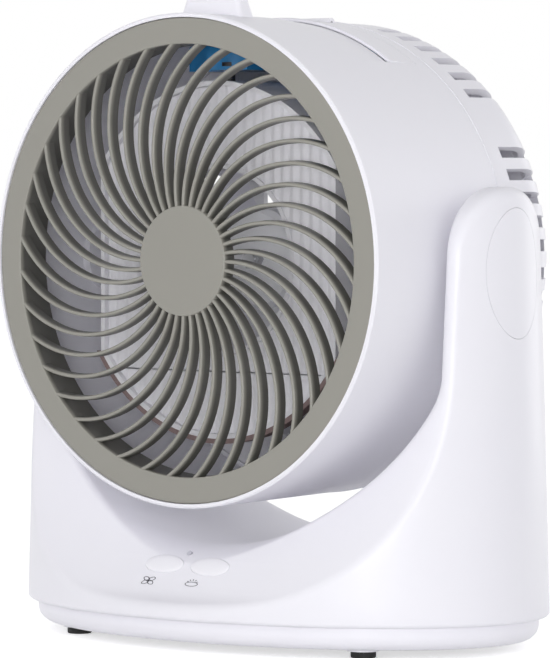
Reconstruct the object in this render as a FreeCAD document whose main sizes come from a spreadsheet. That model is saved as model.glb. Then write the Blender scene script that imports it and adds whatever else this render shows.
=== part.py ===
"""Evaporative air cooler: a tilting drum fan with a spiral grille, carried by the two arms of a moulded base.

Millimetres and degrees. The origin is on the floor under the middle of the base, the front looks along -Y.
"""
import FreeCAD, Part
import Sketcher
import math
import os
import re

V = FreeCAD.Vector
Rotation = FreeCAD.Rotation
Placement = FreeCAD.Placement

# Driving dimensions: name, value, what it measures
DIMENSIONS = [
    ("fit_gap", 0.2, "gap between pieces that fit into one another"),
    ("run_gap", 0.3, "gap between pieces that move past one another"),
    ("shaft_gap", 0.05, "radial running fit of pins and shafts"),
    ("drum_radius", 113.2, "outside of the white drum"),
    ("drum_wall", 2.0, "wall of the drum"),
    ("drum_front", 75, "pivot axis to the front plane of the drum"),
    ("drum_length", 100, "front plane to the parting line"),
    ("drum_taper", 1.9, "narrowing of the drum from its front to the parting line"),
    ("rim_chamfer", 0.7, "broken outer edge of the drum rim and the grille ring"),
    ("ledge_width", 6.5, "ledge inside the drum that the grille sits on"),
    ("ledge_thick", 2.0, "thickness of that ledge"),
    ("grille_recess", 0.6, "grille face behind the drum rim"),
    ("grille_plate", 2.8, "thickness of the grille ring"),
    ("ring_width", 12, "width of the grille ring"),
    ("collar_depth", 18, "depth of the collar behind the ring"),
    ("collar_wall", 2.2, "wall of the collar"),
    ("hub_radius", 25.3, "bare disc in the middle of the grille"),
    ("hub_depth", 7, "depth of that disc's skirt"),
    ("hub_wall", 2.4, "wall of the disc and its skirt"),
    ("slat_count", 40, "curved slats of the grille"),
    ("slat_thick", 2.4, "thickness of a slat"),
    ("slat_depth", 6, "depth of a slat"),
    ("slat_curve", 59, "radius of a slat's centre line"),
    ("slat_bury", 1.2, "how far a slat runs into the disc and the collar"),
    ("rear_depth", 44, "parting line to the rear face"),
    ("rear_straight", 24, "straight part of the rear cover"),
    ("rear_round", 24, "radius of the rear cover's shoulder"),
    ("rear_step", 0.6, "rear cover below the drum's rear edge"),
    ("rear_wall", 2.4, "wall of the rear face"),
    ("spigot_length", 6, "rear cover's spigot inside the drum"),
    ("spigot_wall", 2.0, "wall of the spigot"),
    ("rest_width", 4.5, "rest inside the rear cover for the duct flange"),
    ("rest_thick", 3, "thickness of that rest"),
    ("slot_width", 5.6, "width of a vent slot"),
    ("top_pitch", 6.1, "angle between the vent slots of a top group"),
    ("side_pitch", 5.8, "angle between the vent slots of a side group"),
    ("slot_start", 11, "parting line to the front end of the slots"),
    ("slot_reach", 17, "how far the slots run inwards from the outside"),
    ("slot_rim", 1.2, "plain rim behind the slots"),
    ("top_first", 15.4, "angle of the first top slot from the top"),
    ("top_slots", 6, "slots in a top group"),
    ("side_first", 63.4, "angle of the first side slot from the top"),
    ("side_slots", 5, "slots in a side group"),
    ("lattice_radius", 78, "round field of the intake lattice"),
    ("lattice_blank", 16, "plain middle of the intake lattice"),
    ("lattice_pitch", 11.2, "pitch of the intake lattice"),
    ("lattice_bar", 3, "bar of the intake lattice"),
    ("post_angle", 55.5, "angle of the rear screws from the top"),
    ("post_circle", 97, "radius of the rear screws' circle"),
    ("post_radius", 4.4, "radius of a screw post"),
    ("duct_radius", 82.5, "outside of the inner duct"),
    ("duct_flat", 70, "middle to the flat sides of the duct"),
    ("duct_wall", 2.2, "wall of the duct"),
    ("duct_front", 25, "front plane to the duct's front edge"),
    ("flange_thick", 2.2, "flange at the back of the duct"),
    ("pad_back", 38, "front plane to the back of the wick pad"),
    ("pad_front", 27, "front plane to the face of the wick pad"),
    ("pad_opening", 44.3, "radius of the round opening in the pad"),
    ("frame_bar", 2, "thickness of the pad frame's bars"),
    ("frame_width", 6, "width of the pad frame's bars"),
    ("frame_ring", 2, "wall of the pad frame's ring"),
    ("pad_ledge", 4, "ledge inside the duct behind the pad frame"),
    ("seal_thick", 2.3, "foam strip round the front of the duct"),
    ("seal_width", 6, "width of that strip"),
    ("tank_half_width", 45, "half the width of the water tank"),
    ("tank_front", 60, "front plane to the tank's front wall"),
    ("tank_back", 88, "front plane to the tank's back wall"),
    ("tank_rise", 5, "floor of the tank above the duct"),
    ("tank_wall", 1.8, "wall of the tank"),
    ("tank_clear", 0.8, "tank below the drum wall"),
    ("nose_half_width", 12, "half the width of the tank's spout"),
    ("nose_front", 33, "front plane to the end of the spout"),
    ("nose_height", 10.5, "height of the spout"),
    ("rail_offset", 20, "middle to the rails that carry the tank"),
    ("rail_width", 4, "width of a rail"),
    ("drip_radius", 2.4, "outside of the drip nozzle"),
    ("drip_bore", 1.0, "bore of the drip nozzle"),
    ("lid_half_width", 65, "half the width of the tank lid"),
    ("lid_front", 72, "front plane to the lid's front edge"),
    ("lid_length", 19, "lid's front edge to its hinge"),
    ("lid_undercut", 3.4, "lid's plate behind the front edge of its lip"),
    ("lip_height", 0.6, "finger lip above the drum"),
    ("scoop_depth", 1.3, "finger scoop in front of the lip"),
    ("scoop_length", 22, "length of that scoop"),
    ("lip_length", 12, "length over which the lip fades out"),
    ("hinge_radius", 2.2, "outside of the lid's knuckles"),
    ("hinge_sink", 1.2, "hinge axis below the top of the drum"),
    ("hinge_pin", 0.9, "radius of the hinge pin"),
    ("knuckle_half", 10, "half the length of the lid's knuckle"),
    ("lug_width", 5.7, "width of a hinge lug"),
    ("grip_y", 26, "front plane to the middle of the tilt grip"),
    ("grip_width", 38, "width of the grip at its foot"),
    ("grip_top", 31, "width of the grip at its top"),
    ("grip_depth", 11, "depth of the grip at its foot"),
    ("grip_top_depth", 7.5, "depth of the grip at its top"),
    ("grip_height", 8, "grip above the drum"),
    ("grip_round", 2.4, "rounding of the grip's top"),
    ("fan_radius", 64, "outside of the impeller"),
    ("fan_hub", 24, "radius of the impeller's hub"),
    ("fan_front", 54, "front plane to the hub's face"),
    ("fan_depth", 25, "depth of the hub"),
    ("fan_wall", 2.4, "wall of the hub"),
    ("blade_count", 7, "impeller blades"),
    ("blade_thick", 1.8, "thickness of a blade"),
    ("root_chord", 25, "chord of a blade at the hub"),
    ("mid_chord", 35, "chord of a blade half way out"),
    ("tip_chord", 40, "chord of a blade at its tip"),
    ("root_pitch", 46, "pitch of a blade at the hub"),
    ("mid_pitch", 35, "pitch of a blade half way out"),
    ("tip_pitch", 28, "pitch of a blade at its tip"),
    ("shaft_radius", 3, "motor shaft"),
    ("nut_width", 10, "across the corners of the impeller nut"),
    ("nut_height", 4, "height of the impeller nut"),
    ("motor_radius", 26, "motor can"),
    ("motor_front", 84, "front plane to the motor's face"),
    ("motor_length", 38, "length of the motor can"),
    ("motor_nose", 9, "radius of the motor's front bearing boss"),
    ("bracket_thick", 4, "thickness of the motor bracket"),
    ("bracket_rim", 7.5, "rim of the motor bracket"),
    ("bracket_ring", 4, "ring of the bracket round the motor"),
    ("bracket_arm", 9, "width of a bracket arm"),
    ("screw_radius", 1.5, "shank of the screws"),
    ("screw_head", 3.2, "radius of the screw heads"),
    ("screw_head_height", 2, "height of the screw heads"),
    ("arm_gap", 4.3, "drum to the inner faces of the arms"),
    ("arm_thick", 21.7, "inner face of an arm to the widest point of the base"),
    ("arm_half", 32.5, "half the front-to-back width of an arm"),
    ("arm_top", 34, "top of the arms above the pivot"),
    ("arm_slope", 4, "lean of the arm's front edge"),
    ("sweep_end", 43, "lean of the fascia where the toe begins"),
    ("toe_radius", 24, "hollow of the toe"),
    ("toe_end", 82, "lean of the toe at its front"),
    ("toe_height", 21.5, "top of the toe above the floor"),
    ("toe_overrun", 2.5, "toe drawn past the front of the base"),
    ("valley_gap", 17.8, "drum to the bottom of the valley below it"),
    ("valley_floor", 47, "bottom of the valley above the floor"),
    ("valley_blend", 30, "rounding between the valley and the arms"),
    ("crest_bite", 1.36, "how far the roll of the valley passes the fascia before they are blended"),
    ("crest_share", 0.513, "flat part of the valley at least, as a share of the half depth"),
    ("crest_round", 40, "roll of the valley at its front and back"),
    ("crest_end", 48, "lean at which the roll has met the fascia"),
    ("base_half_depth", 90.5, "half the front-to-back depth of the base"),
    ("base_taper", 6, "narrowing of the base from bottom to top"),
    ("split_height", 15, "lower edge of the base shell above the floor"),
    ("shell_wall", 3, "wall of the base shell"),
    ("ridge_round", 6, "rounding of the ridge between wall and fascia"),
    ("valley_round", 4, "rounding of the valley's edges"),
    ("hem_round", 2, "rounding of the shell's lower edge"),
    ("plate_inset", 5, "base plate inside the shell's outline"),
    ("plate_bottom", 4.2, "underside of the base plate above the floor"),
    ("plate_wall", 2.5, "wall and floor of the base plate"),
    ("plate_round", 7, "rounding of the plate's lower edge"),
    ("plate_flange", 3.5, "flange of the plate inside the shell"),
    ("foot_radius", 5.8, "rubber foot"),
    ("foot_height", 3.2, "rubber foot below its cup"),
    ("foot_share", 0.61, "foot from the middle as a share of the half width"),
    ("foot_depth_share", 0.537, "foot from the middle as a share of the half depth"),
    ("cup_radius", 7.5, "moulded cup round a foot"),
    ("stud_share", 0.546, "base screw from the middle as a share of the half width"),
    ("stud_depth_share", 0.265, "base screw from the middle as a share of the half depth"),
    ("stud_radius", 4.5, "screw stud"),
    ("stud_bite", 12, "length of the base screws above the split"),
    ("cap_half_width", 19.5, "half the width of the oval arm cap"),
    ("cap_half_height", 29.7, "half the height of the oval arm cap"),
    ("cap_drop", 5, "middle of the arm cap below the pivot"),
    ("pin_radius", 6, "pivot pin"),
    ("pin_head", 9, "head of the pivot pin"),
    ("pin_head_thick", 2, "thickness of that head"),
    ("pin_reach", 9, "pivot pin inside the drum's outside"),
    ("socket_radius", 11, "socket of the pin inside the arm"),
    ("socket_length", 9, "length of that socket"),
    ("boss_radius", 17, "pivot boss of the drum"),
    ("boss_inside", 7, "boss inside the drum's outside"),
    ("washer_thick", 1.2, "friction washer"),
    ("washer_radius", 15.5, "friction washer"),
    ("button_angle", 38.5, "lean of the fascia at the buttons"),
    ("button_offset", 13.5, "middle to a button"),
    ("button_length", 22, "length of a button"),
    ("button_width", 9.4, "width of a button"),
    ("button_rise", 1.3, "button above the fascia"),
    ("button_round", 1.1, "rounding of a button"),
    ("button_travel", 1.2, "travel of a button"),
    ("button_skirt", 1.4, "skirt that keeps a button in"),
    ("button_depth", 6.2, "button below the fascia"),
    ("stem_radius", 2, "stem of a button"),
    ("board_depth", 11.4, "fascia to the face of the control board"),
    ("board_thick", 1.6, "thickness of the control board"),
    ("board_half_width", 32, "half the width of the control board"),
    ("board_below", 9, "control board below the buttons"),
    ("board_above", 13, "control board above the buttons"),
    ("board_post", 2.2, "radius of the board's posts"),
    ("switch_size", 6, "side of a switch"),
    ("switch_height", 1.5, "height of a switch"),
    ("lens_radius", 1.2, "indicator light"),
    ("lens_offset", -4.2, "indicator from the middle"),
    ("lens_above", 8, "indicator above the buttons"),
    ("lens_sink", 2, "indicator below the plane of the buttons, where the fascia rolls over"),
    ("inlet_height", 34, "power socket above the floor"),
    ("inlet_inset", 11.5, "face of the power socket inside the back of the base"),
    ("inlet_radius", 5.5, "power socket"),
    ("inlet_length", 16, "length of the power socket"),
    ("inlet_bore", 3.2, "bore of the power socket"),
    ("inlet_depth", 9, "depth of that bore"),
    ("inlet_pin", 1, "pin in the power socket"),
    ("inlet_lip", 1, "lip of the power socket in front of its collar"),
    ("inlet_collar", 8.2, "collar of the shell round the socket"),
]
# Dimensions that follow from the ones above, so that the fascia meets the arms and the toe at any size
FOLLOWING = [
    ("half_width", "=drum_radius + arm_gap + arm_thick", "half the width of the base"),
    ("axis_height", "=valley_floor + valley_gap + drum_radius", "pivot above the floor"),
    ("toe_rise", "=toe_radius * (sin(toe_end) - sin(sweep_end))", "height of the hollow of the toe"),
    ("toe_run", "=toe_radius * (cos(sweep_end) - cos(toe_end))", "length of the hollow of the toe"),
    ("sweep_radius", "=(base_half_depth + toe_overrun - arm_half - toe_run - tan(arm_slope) * (arm_top - arm_half + "
     "axis_height - toe_height - toe_rise)) / (cos(arm_slope) - cos(sweep_end) - tan(arm_slope) * "
     "(sin(sweep_end) - sin(arm_slope)))", "sweep of the fascia seen from the side"),
    ("knee_drop", "=axis_height - toe_height - toe_rise - sweep_radius * (sin(sweep_end) - sin(arm_slope))",
     "pivot to the point where the front edge starts to sweep"),
    ("foot_x", "=foot_share * half_width", "foot from the middle, sideways"),
    ("crest_half", "=max(crest_share * base_half_depth; arm_half + (arm_top - arm_half + knee_drop) * tan(arm_slope) "
     "+ sweep_radius * cos(arm_slope) - sqrt((sweep_radius + crest_round - crest_bite) ^ 2 - (axis_height "
     "+ sweep_radius * sin(arm_slope) - knee_drop - valley_floor + crest_round) ^ 2))",
     "middle to where the valley starts to roll over"),
    ("foot_y", "=foot_depth_share * base_half_depth", "foot from the middle, front to back"),
    ("stud_x", "=stud_share * half_width", "base screw from the middle, sideways"),
    ("stud_y", "=stud_depth_share * base_half_depth", "base screw from the middle, front to back"),
    ("inlet_face", "=base_half_depth - inlet_inset", "middle to the face of the power socket"),
]
ALIASES = {name for name, number, note in DIMENSIONS + FOLLOWING}

doc = FreeCAD.newDocument("evaporative_air_cooler")
sizes = doc.addObject("Spreadsheet::Sheet", "sizes")
for row, (name, number, note) in enumerate(DIMENSIONS + FOLLOWING, 1):
    sizes.set("A%d" % row, name)
    sizes.set("B%d" % row, str(number))
    sizes.set("C%d" % row, note)
    sizes.setAlias("B%d" % row, name)
doc.recompute()

# Lengths that follow from the driving dimensions
AXIS = "(valley_floor + valley_gap + drum_radius)"
ARM_INNER = "(drum_radius + arm_gap)"
HALF_WIDTH = "(drum_radius + arm_gap + arm_thick)"
VALLEY = "(drum_radius + valley_gap)"
DRUM_BORE = "(drum_radius - drum_wall)"
RING = "(drum_radius - drum_wall - fit_gap)"
OPENING = "(drum_radius - drum_wall - fit_gap - ring_width)"
DRUM_REAR = "(drum_radius - drum_taper)"
SPIGOT = "(drum_radius - drum_taper - drum_wall - fit_gap)"
SPIGOT_BORE = "(drum_radius - drum_taper - drum_wall - fit_gap - spigot_wall)"
REAR = "(drum_length + rear_depth)"
REST = "(drum_length - rest_thick)"
HINGE_Y = "(lid_front + lid_length)"
HINGE_Z = "(drum_radius - drum_taper * %s / drum_length - hinge_sink)" % HINGE_Y
TANK_FLOOR = "(duct_radius + tank_rise)"
BOSS_FACE = "(drum_radius + arm_gap - washer_thick - run_gap)"
PIN_END = "(drum_radius + arm_gap + socket_length + shell_wall / 2)"
NODES = []


def bound(text):
    """The text as an expression on the sheet: every dimension's name gets the sheet's name before it."""
    return re.sub("[a-z_]+", lambda word: "sizes." + word.group() if word.group() in ALIASES else word.group(), text)


def value(text):
    """What the text comes to, as a plain number."""
    return float(sizes.evalExpression(bound(text)))


def bind(thing, **texts):
    """Tie properties of a thing to the sheet."""
    for name, text in texts.items():
        thing.setExpression(name, bound(text))
    return thing


def place(thing, x="0", y="0", z="0", turn=None):
    """Put a thing at a point that is tied to the sheet."""
    if turn is not None:
        thing.Placement = Placement(V(), turn)
    for axis, text in zip("xyz", (x, y, z)):
        thing.setExpression("Placement.Base." + axis, bound(text))
    return thing


def node(thing, name):
    """A finished sub-part: its label is the name of its file."""
    thing.Label = name
    NODES.append(thing)
    return thing


ALONG = {"x": Rotation(V(0, 1, 0), 90), "y": Rotation(V(1, 0, 0), -90), "z": Rotation()}


def rod(name, radius, length, along, x="0", y="0", z="0"):
    """A cylinder that starts at a point and runs along an axis."""
    thing = bind(doc.addObject("Part::Cylinder", name), Radius=radius, Height=length)
    return place(thing, x, y, z, ALONG[along])


def block(name, x, y, z):
    """A box between two values on each axis."""
    thing = doc.addObject("Part::Box", name)
    sides = ["(%s) - (%s)" % (high, low) for low, high in (x, y, z)]
    bind(thing, Length=sides[0], Width=sides[1], Height=sides[2])
    return place(thing, x[0], y[0], z[0])


def fuse(name, *things):
    result = doc.addObject("Part::MultiFuse", name)
    result.Shapes = list(things)
    return result


def cut(name, base, *tools):
    result = doc.addObject("Part::Cut", name)
    result.Base = base
    result.Tool = tools[0] if len(tools) == 1 else fuse(name + "_tools", *tools)
    return result


def common(name, first, second):
    result = doc.addObject("Part::Common", name)
    result.Base = first
    result.Tool = second
    return result


def group(name, things):
    """Separate solids that share one name."""
    result = doc.addObject("Part::Compound", name)
    result.Links = list(things)
    return result


def settled(thing):
    """The thing after a recompute, for choosing edges on its shape."""
    doc.recompute()
    return thing


def rounded(name, base, radius, wanted):
    """Fillet of every edge that the test picks."""
    shape = settled(base).Shape
    size = value(radius)
    result = doc.addObject("Part::Fillet", name)
    result.Base = base
    result.Edges = [(i + 1, size, size) for i, edge in enumerate(shape.Edges) if wanted(shape, edge)]
    return result


def outline(sketch, corners):
    """Closed outline. A corner is two texts; a third is the radius of the arc that arrives there (minus: clockwise)."""
    points = [V(value(corner[0]), value(corner[1]), 0) for corner in corners]
    starts = []
    for i, corner in enumerate(corners):
        a, b = points[i - 1], points[i]
        if len(corner) == 2:
            sketch.addGeometry(Part.LineSegment(a, b), False)
            starts.append((1, 2))
            continue
        radius = value(corner[2])
        chord = b - a
        left = V(-chord.y, chord.x, 0).normalize() * math.copysign(1, radius)
        rise = math.sqrt(max(radius ** 2 - chord.Length ** 2 / 4, 0))
        centre = (a + b) * 0.5 + left * rise
        first, last = (a, b) if radius > 0 else (b, a)
        angles = [math.atan2(p.y - centre.y, p.x - centre.x) for p in (first, last)]
        sketch.addGeometry(Part.ArcOfCircle(Part.Circle(centre, V(0, 0, 1), abs(radius)), *angles), False)
        starts.append((1, 2) if radius > 0 else (2, 1))
    base = sketch.GeometryCount - len(corners)
    for i, corner in enumerate(corners):
        following = (i + 1) % len(corners)
        sketch.addConstraint(Sketcher.Constraint(
            "Coincident", base + i, starts[i][1], base + following, starts[following][0]))
        for kind, axis, text, number in (("DistanceX", -2, corner[0], points[i].x),
                                         ("DistanceY", -1, corner[1], points[i].y)):
            if text == "0":
                sketch.addConstraint(Sketcher.Constraint("PointOnObject", base + i, starts[i][1], axis))
                continue
            k = sketch.addConstraint(Sketcher.Constraint(kind, -1, 1, base + i, starts[i][1], number))
            sketch.setExpression("Constraints[%d]" % k, bound(text))
        if len(corner) == 3:
            k = sketch.addConstraint(Sketcher.Constraint("Radius", base + i, abs(value(corner[2]))))
            sketch.setExpression("Constraints[%d]" % k, bound(corner[2].lstrip("-")))
    return sketch


def body(name):
    """An empty body that may hold pieces which join only later."""
    thing = doc.addObject("PartDesign::Body", name)
    thing.AllowCompound = True
    return thing


def drum_body(name):
    """A body whose own origin is the middle of the drum's front plane."""
    return place(body(name), y="-drum_front", z=AXIS)


def sketch_on(owner, name, role, offset="0"):
    """A sketch on one of the body's own planes, moved off it by an offset."""
    sketch = owner.newObject("Sketcher::SketchObject", name)
    plane = next(feature for feature in owner.Origin.OriginFeatures if feature.Role == role)
    sketch.AttachmentSupport = [(plane, "")]
    sketch.MapMode = "FlatFace"
    if offset != "0":
        sketch.setExpression("AttachmentOffset.Base.z", bound(offset))
    return sketch


def turned(owner, name, corners):
    """A solid turned about the body's Y axis from (y, radius) corners."""
    feature = owner.newObject("PartDesign::Revolution", name)
    feature.Profile = outline(sketch_on(owner, name + "_profile", "YZ_Plane"), corners)
    feature.ReferenceAxis = (feature.Profile[0], ["H_Axis"])
    feature.Angle = 360
    return feature


def padded(owner, name, sketch, length, kind="PartDesign::Pad"):
    """A pad, or a pocket, from a sketch on the XZ plane backwards along +Y."""
    feature = owner.newObject(kind, name)
    feature.Profile = sketch
    feature.Reversed = kind == "PartDesign::Pad"
    return bind(feature, Length=length)


def repeated(owner, name, original, axis_role, count):
    """Copies of a feature all round one of the body's axes."""
    feature = owner.newObject("PartDesign::PolarPattern", name)
    feature.Originals = [original]
    axis = next(item for item in owner.Origin.OriginFeatures if item.Role == axis_role)
    feature.Axis = (axis, [""])
    feature.Angle = 360
    bind(feature, Occurrences=count)
    owner.Tip = feature
    return feature


def both_sides(make):
    """A piece made for the right side (+1) and for the left side (-1)."""
    return [make(1, "right"), make(-1, "left")]


def side_rod(name, radius, low, high, sign, z=AXIS, y="0"):
    """A cylinder along X between two distances from the middle, on one side."""
    start = low if sign > 0 else "-(%s)" % high
    return rod(name, radius, "(%s) - (%s)" % (high, low), "x", start, y, z)


def from_front(text):
    """A depth behind the drum's front plane as a Y value."""
    return "(%s) - drum_front" % text


# Base shell: a tapered oval cut by a side profile and by the valley that the drum sits in
KNEE_Y = "(arm_half + (arm_top - arm_half + knee_drop) * tan(arm_slope))"
SWEEP_Y = "(-%s - sweep_radius * cos(arm_slope))" % KNEE_Y
SWEEP_Z = "(sweep_radius * sin(arm_slope) - knee_drop)"
TOE_Y = "(%s + (sweep_radius - toe_radius) * cos(sweep_end))" % SWEEP_Y
TOE_Z = "(%s - (sweep_radius - toe_radius) * sin(sweep_end))" % SWEEP_Z


def oval(name, half_width, half_depth, z):
    return place(bind(doc.addObject("Part::Ellipse", name), MajorRadius=half_width, MinorRadius=half_depth), z=z)


def extruded(name, sketch, length):
    """A sketch pulled out the same way to both sides of its plane."""
    result = doc.addObject("Part::Extrusion", name)
    result.Base = sketch
    result.DirMode = "Normal"
    result.Solid = True
    result.Symmetric = True
    return bind(result, LengthFwd=length)


def side_corners(inset):
    """Front half of the side profile from the toe to the top of the arm, then its mirror image."""
    outer = "(base_half_depth + toe_radius)"

    def swept(centre_y, centre_z, radius, lean):
        return ("%s + (%s + %s) * cos(%s)" % (centre_y, radius, inset, lean),
                "%s + %s - (%s + %s) * sin(%s)" % (AXIS, centre_z, radius, inset, lean))

    toe = swept(TOE_Y, TOE_Z, "toe_radius", "toe_end")
    bend = swept(SWEEP_Y, SWEEP_Z, "sweep_radius", "sweep_end")
    knee = swept(SWEEP_Y, SWEEP_Z, "sweep_radius", "arm_slope")
    crown = "(arm_half - %s)" % inset
    shoulder = "%s + arm_top - arm_half" % AXIS
    toe_arc = "toe_radius + %s" % inset
    sweep_arc = "sweep_radius + %s" % inset
    return [("-" + outer, "-toe_radius"), ("-" + outer, toe[1]), toe, bend + (toe_arc,), knee + (sweep_arc,),
            ("-" + crown, shoulder), ("0", "%s + arm_top - %s" % (AXIS, inset), "-" + crown),
            (crown, shoulder, "-" + crown), ("-(%s)" % knee[0], knee[1]), ("-(%s)" % bend[0], bend[1], sweep_arc),
            ("-(%s)" % toe[0], toe[1], toe_arc), (outer, toe[1]), (outer, "-toe_radius")]


def valley_corners(inset):
    """The U between the arms: flat sides, blended into an arc about the drum's axis."""
    half = "(%s + %s)" % (ARM_INNER, inset)
    reach = "(%s - valley_blend)" % VALLEY
    middle = "(%s - valley_blend)" % ARM_INNER
    drop = "sqrt(%s ^ 2 - %s ^ 2)" % (reach, middle)
    share = "(%s + %s) / %s" % (VALLEY, inset, reach)
    meet_x = "%s * %s" % (middle, share)
    meet_z = "%s - %s * %s" % (AXIS, drop, share)
    top = "%s + 2 * arm_top" % AXIS
    bend_z = "%s - %s" % (AXIS, drop)
    blend = "valley_blend + %s" % inset
    return [("-" + half, top), ("-" + half, bend_z), ("-" + meet_x, meet_z, blend),
            (meet_x, meet_z, "%s + %s" % (VALLEY, inset)), (half, bend_z, blend), (half, top)]


def crest(name, inset, path, sign):
    """Tool that rolls the valley over at its front (-1) or its back (+1), swept along the U."""
    wall = "-(%s + %s)" % (ARM_INNER, inset)
    roll = "(crest_round - %s)" % inset
    start, end = (("%s(crest_half%s)" % ("-" if sign < 0 else "", more)) for more in ("", " + %s * sin(crest_end)" % roll))
    profile = doc.addObject("Sketcher::SketchObject", name + "_profile")
    place(profile, z="%s + 2 * arm_top" % AXIS)
    turn = "-" if sign < 0 else ""
    outline(profile, [(wall + " + 1", end), (wall + " + 1", start), (wall, start),
                      ("%s - %s * (1 - cos(crest_end))" % (wall, roll), end, turn + roll)])
    tool = doc.addObject("Part::Sweep", name)
    tool.Sections = [profile]
    tool.Spine = (path, ["Edge%d" % k for k in range(2, 7)])
    tool.Solid = True
    return tool


def yoke(name, inset, bottom):
    """The whole outside of the base, or with an inset the hollow inside it."""
    half_depth = "base_half_depth - %s" % inset
    wall = doc.addObject("Part::Loft", name + "_wall")
    wall.Sections = [
        oval(name + "_hem", "%s - %s" % (HALF_WIDTH, inset), half_depth, bottom),
        oval(name + "_crown", "%s - base_taper - %s" % (HALF_WIDTH, inset), half_depth + " - base_taper",
             "%s + 2 * arm_top" % AXIS)]
    wall.Solid = True
    wall.Ruled = True
    side = doc.addObject("Sketcher::SketchObject", name + "_side")
    side.Placement = Placement(V(), Rotation(V(1, 1, 1), 120))
    valley = doc.addObject("Sketcher::SketchObject", name + "_valley")
    valley.Placement = Placement(V(), Rotation(V(1, 0, 0), 90))
    flank = common(name + "_flank", wall,
                   extruded(name + "_side_prism", outline(side, side_corners(inset)), "3 * " + HALF_WIDTH))
    trough = extruded(name + "_valley_prism", outline(valley, valley_corners(inset)), "4 * base_half_depth")
    return cut(name, flank, trough, *[crest("%s_crest_%d" % (name, k), inset, valley, sign)
                                      for k, sign in enumerate((-1, 1))])


def face_kind(face):
    """Which surface of the base a face belongs to: wall, side profile, valley or hem."""
    surface = face.Surface
    if isinstance(surface, Part.Cylinder):
        return "side" if abs(surface.Axis.x) > 0.9 else "valley"
    if not isinstance(surface, Part.Plane):
        middle = face.valueAt(*[sum(ends) / 2 for ends in (face.ParameterRange[:2], face.ParameterRange[2:])])
        outward = (middle.x / value("half_width")) ** 2 + (middle.y / value("base_half_depth")) ** 2
        return "wall" if outward > 0.8 else "valley"
    if isinstance(surface, Part.Plane):
        if abs(surface.Axis.x) > 0.9:
            return "valley"
        low = abs(face.CenterOfMass.z - value("split_height")) < value("fit_gap")
        return "hem" if low else "side"
    return "wall"


def between(*kinds):
    """Test for edges between two kinds of face."""
    def wanted(shape, edge):
        faces = shape.ancestorsOfType(edge, Part.Face)
        return sorted(face_kind(face) for face in faces) == sorted(kinds)
    return wanted


outside = yoke("yoke_outside", "0", "split_height")
hollow = yoke("yoke_hollow", "shell_wall", "split_height - shell_wall")
hemmed = rounded("yoke_hemmed", outside, "hem_round", between("wall", "hem"))
ridged = rounded("yoke_ridged", hemmed, "ridge_round", between("wall", "side"))
smooth = rounded("yoke_smooth", ridged, "valley_round", between("side", "valley"))
skin = cut("yoke_skin", smooth, hollow)


def cap_prism(name, gap, sign):
    """Oval prism through the outer wall of one arm."""
    ellipse = doc.addObject("Part::Ellipse", name + "_oval")
    bind(ellipse, MajorRadius="cap_half_height - %s" % gap, MinorRadius="cap_half_width - %s" % gap)
    start = "%s + arm_thick / 2" % ARM_INNER
    place(ellipse, start if sign > 0 else "-(%s)" % start, z=AXIS + " - cap_drop", turn=Rotation(V(0, 1, 0), -90))
    prism = doc.addObject("Part::Extrusion", name)
    prism.Base = ellipse
    prism.DirMode = "Custom"
    prism.Dir = V(sign, 0, 0)
    prism.Solid = True
    return bind(prism, LengthFwd="arm_thick")


def studs(name, radius, low, high):
    """Four upright cylinders at the base screws."""
    return [rod("%s_%d%d" % (name, i, k), radius, "(%s) - (%s)" % (high, low), "z", x, y, low)
            for i, x in enumerate(("-stud_x", "stud_x")) for k, y in enumerate(("-stud_y", "stud_y"))]


FASCIA_Y = "(%s + sweep_radius * cos(button_angle))" % SWEEP_Y
FASCIA_Z = "(%s + %s - sweep_radius * sin(button_angle))" % (AXIS, SWEEP_Z)


def on_fascia(thing, x="0"):
    """Put a piece that is drawn with its Z axis outwards onto the sloped fascia at the buttons."""
    place(thing, x, FASCIA_Y, FASCIA_Z, Rotation(V(1, 0, 0), 51.5))
    thing.setExpression("Placement.Rotation.Angle", bound("90 - button_angle"))
    return thing


def fascia_oval(name, growth, low, high, x):
    """Oval prism square to the fascia, a button's outline grown all round."""
    ellipse = doc.addObject("Part::Ellipse", name + "_oval")
    bind(ellipse, MajorRadius="button_length / 2 + %s" % growth, MinorRadius="button_width / 2 + %s" % growth)
    place(ellipse, z=low)
    prism = doc.addObject("Part::Extrusion", name)
    prism.Base = ellipse
    prism.DirMode = "Normal"
    prism.Solid = True
    bind(prism, LengthFwd="(%s) - (%s)" % (high, low))
    return on_fascia(prism, x)


def fascia_rod(name, radius, low, high, x="0", y="0"):
    """Cylinder square to the fascia, between two heights above it."""
    upright = rod(name + "_upright", radius, "(%s) - (%s)" % (high, low), "z", x, y, low)
    return on_fascia(group(name, [upright]))


BUTTONS = {"fan_button": "-button_offset", "mist_button": "button_offset"}
BOARD_POSTS = [("%s(board_half_width - 4)" % side, y) for side in ("-", "")
               for y in ("4 - board_below", "board_above - 4")]
sockets = both_sides(lambda sign, side: side_rod(
    side + "_socket", "socket_radius", "%s + shell_wall / 2" % ARM_INNER, PIN_END, sign))
stud_blanks = [common("stud_trim_%d" % i, stud, smooth)
               for i, stud in enumerate(studs("shell_stud", "stud_radius", "split_height", AXIS))]
posts = [fascia_rod("board_post_%d" % i, "board_post", "-board_depth", "-shell_wall / 2", x, y)
         for i, (x, y) in enumerate(BOARD_POSTS)]
collar = rod("inlet_collar_rod", "inlet_collar", "inlet_length", "y",
             y="inlet_face - inlet_length", z="inlet_height")
windows = both_sides(lambda sign, side: cap_prism(side + "_cap_window", "0", sign))
pin_holes = both_sides(lambda sign, side: side_rod(
    side + "_pin_hole", "pin_radius", "drum_radius", PIN_END + " + pin_head_thick", sign))
button_holes = [fascia_oval(name + "_hole", "run_gap", "-button_depth", "3 * button_rise", x)
                for name, x in BUTTONS.items()]
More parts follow.
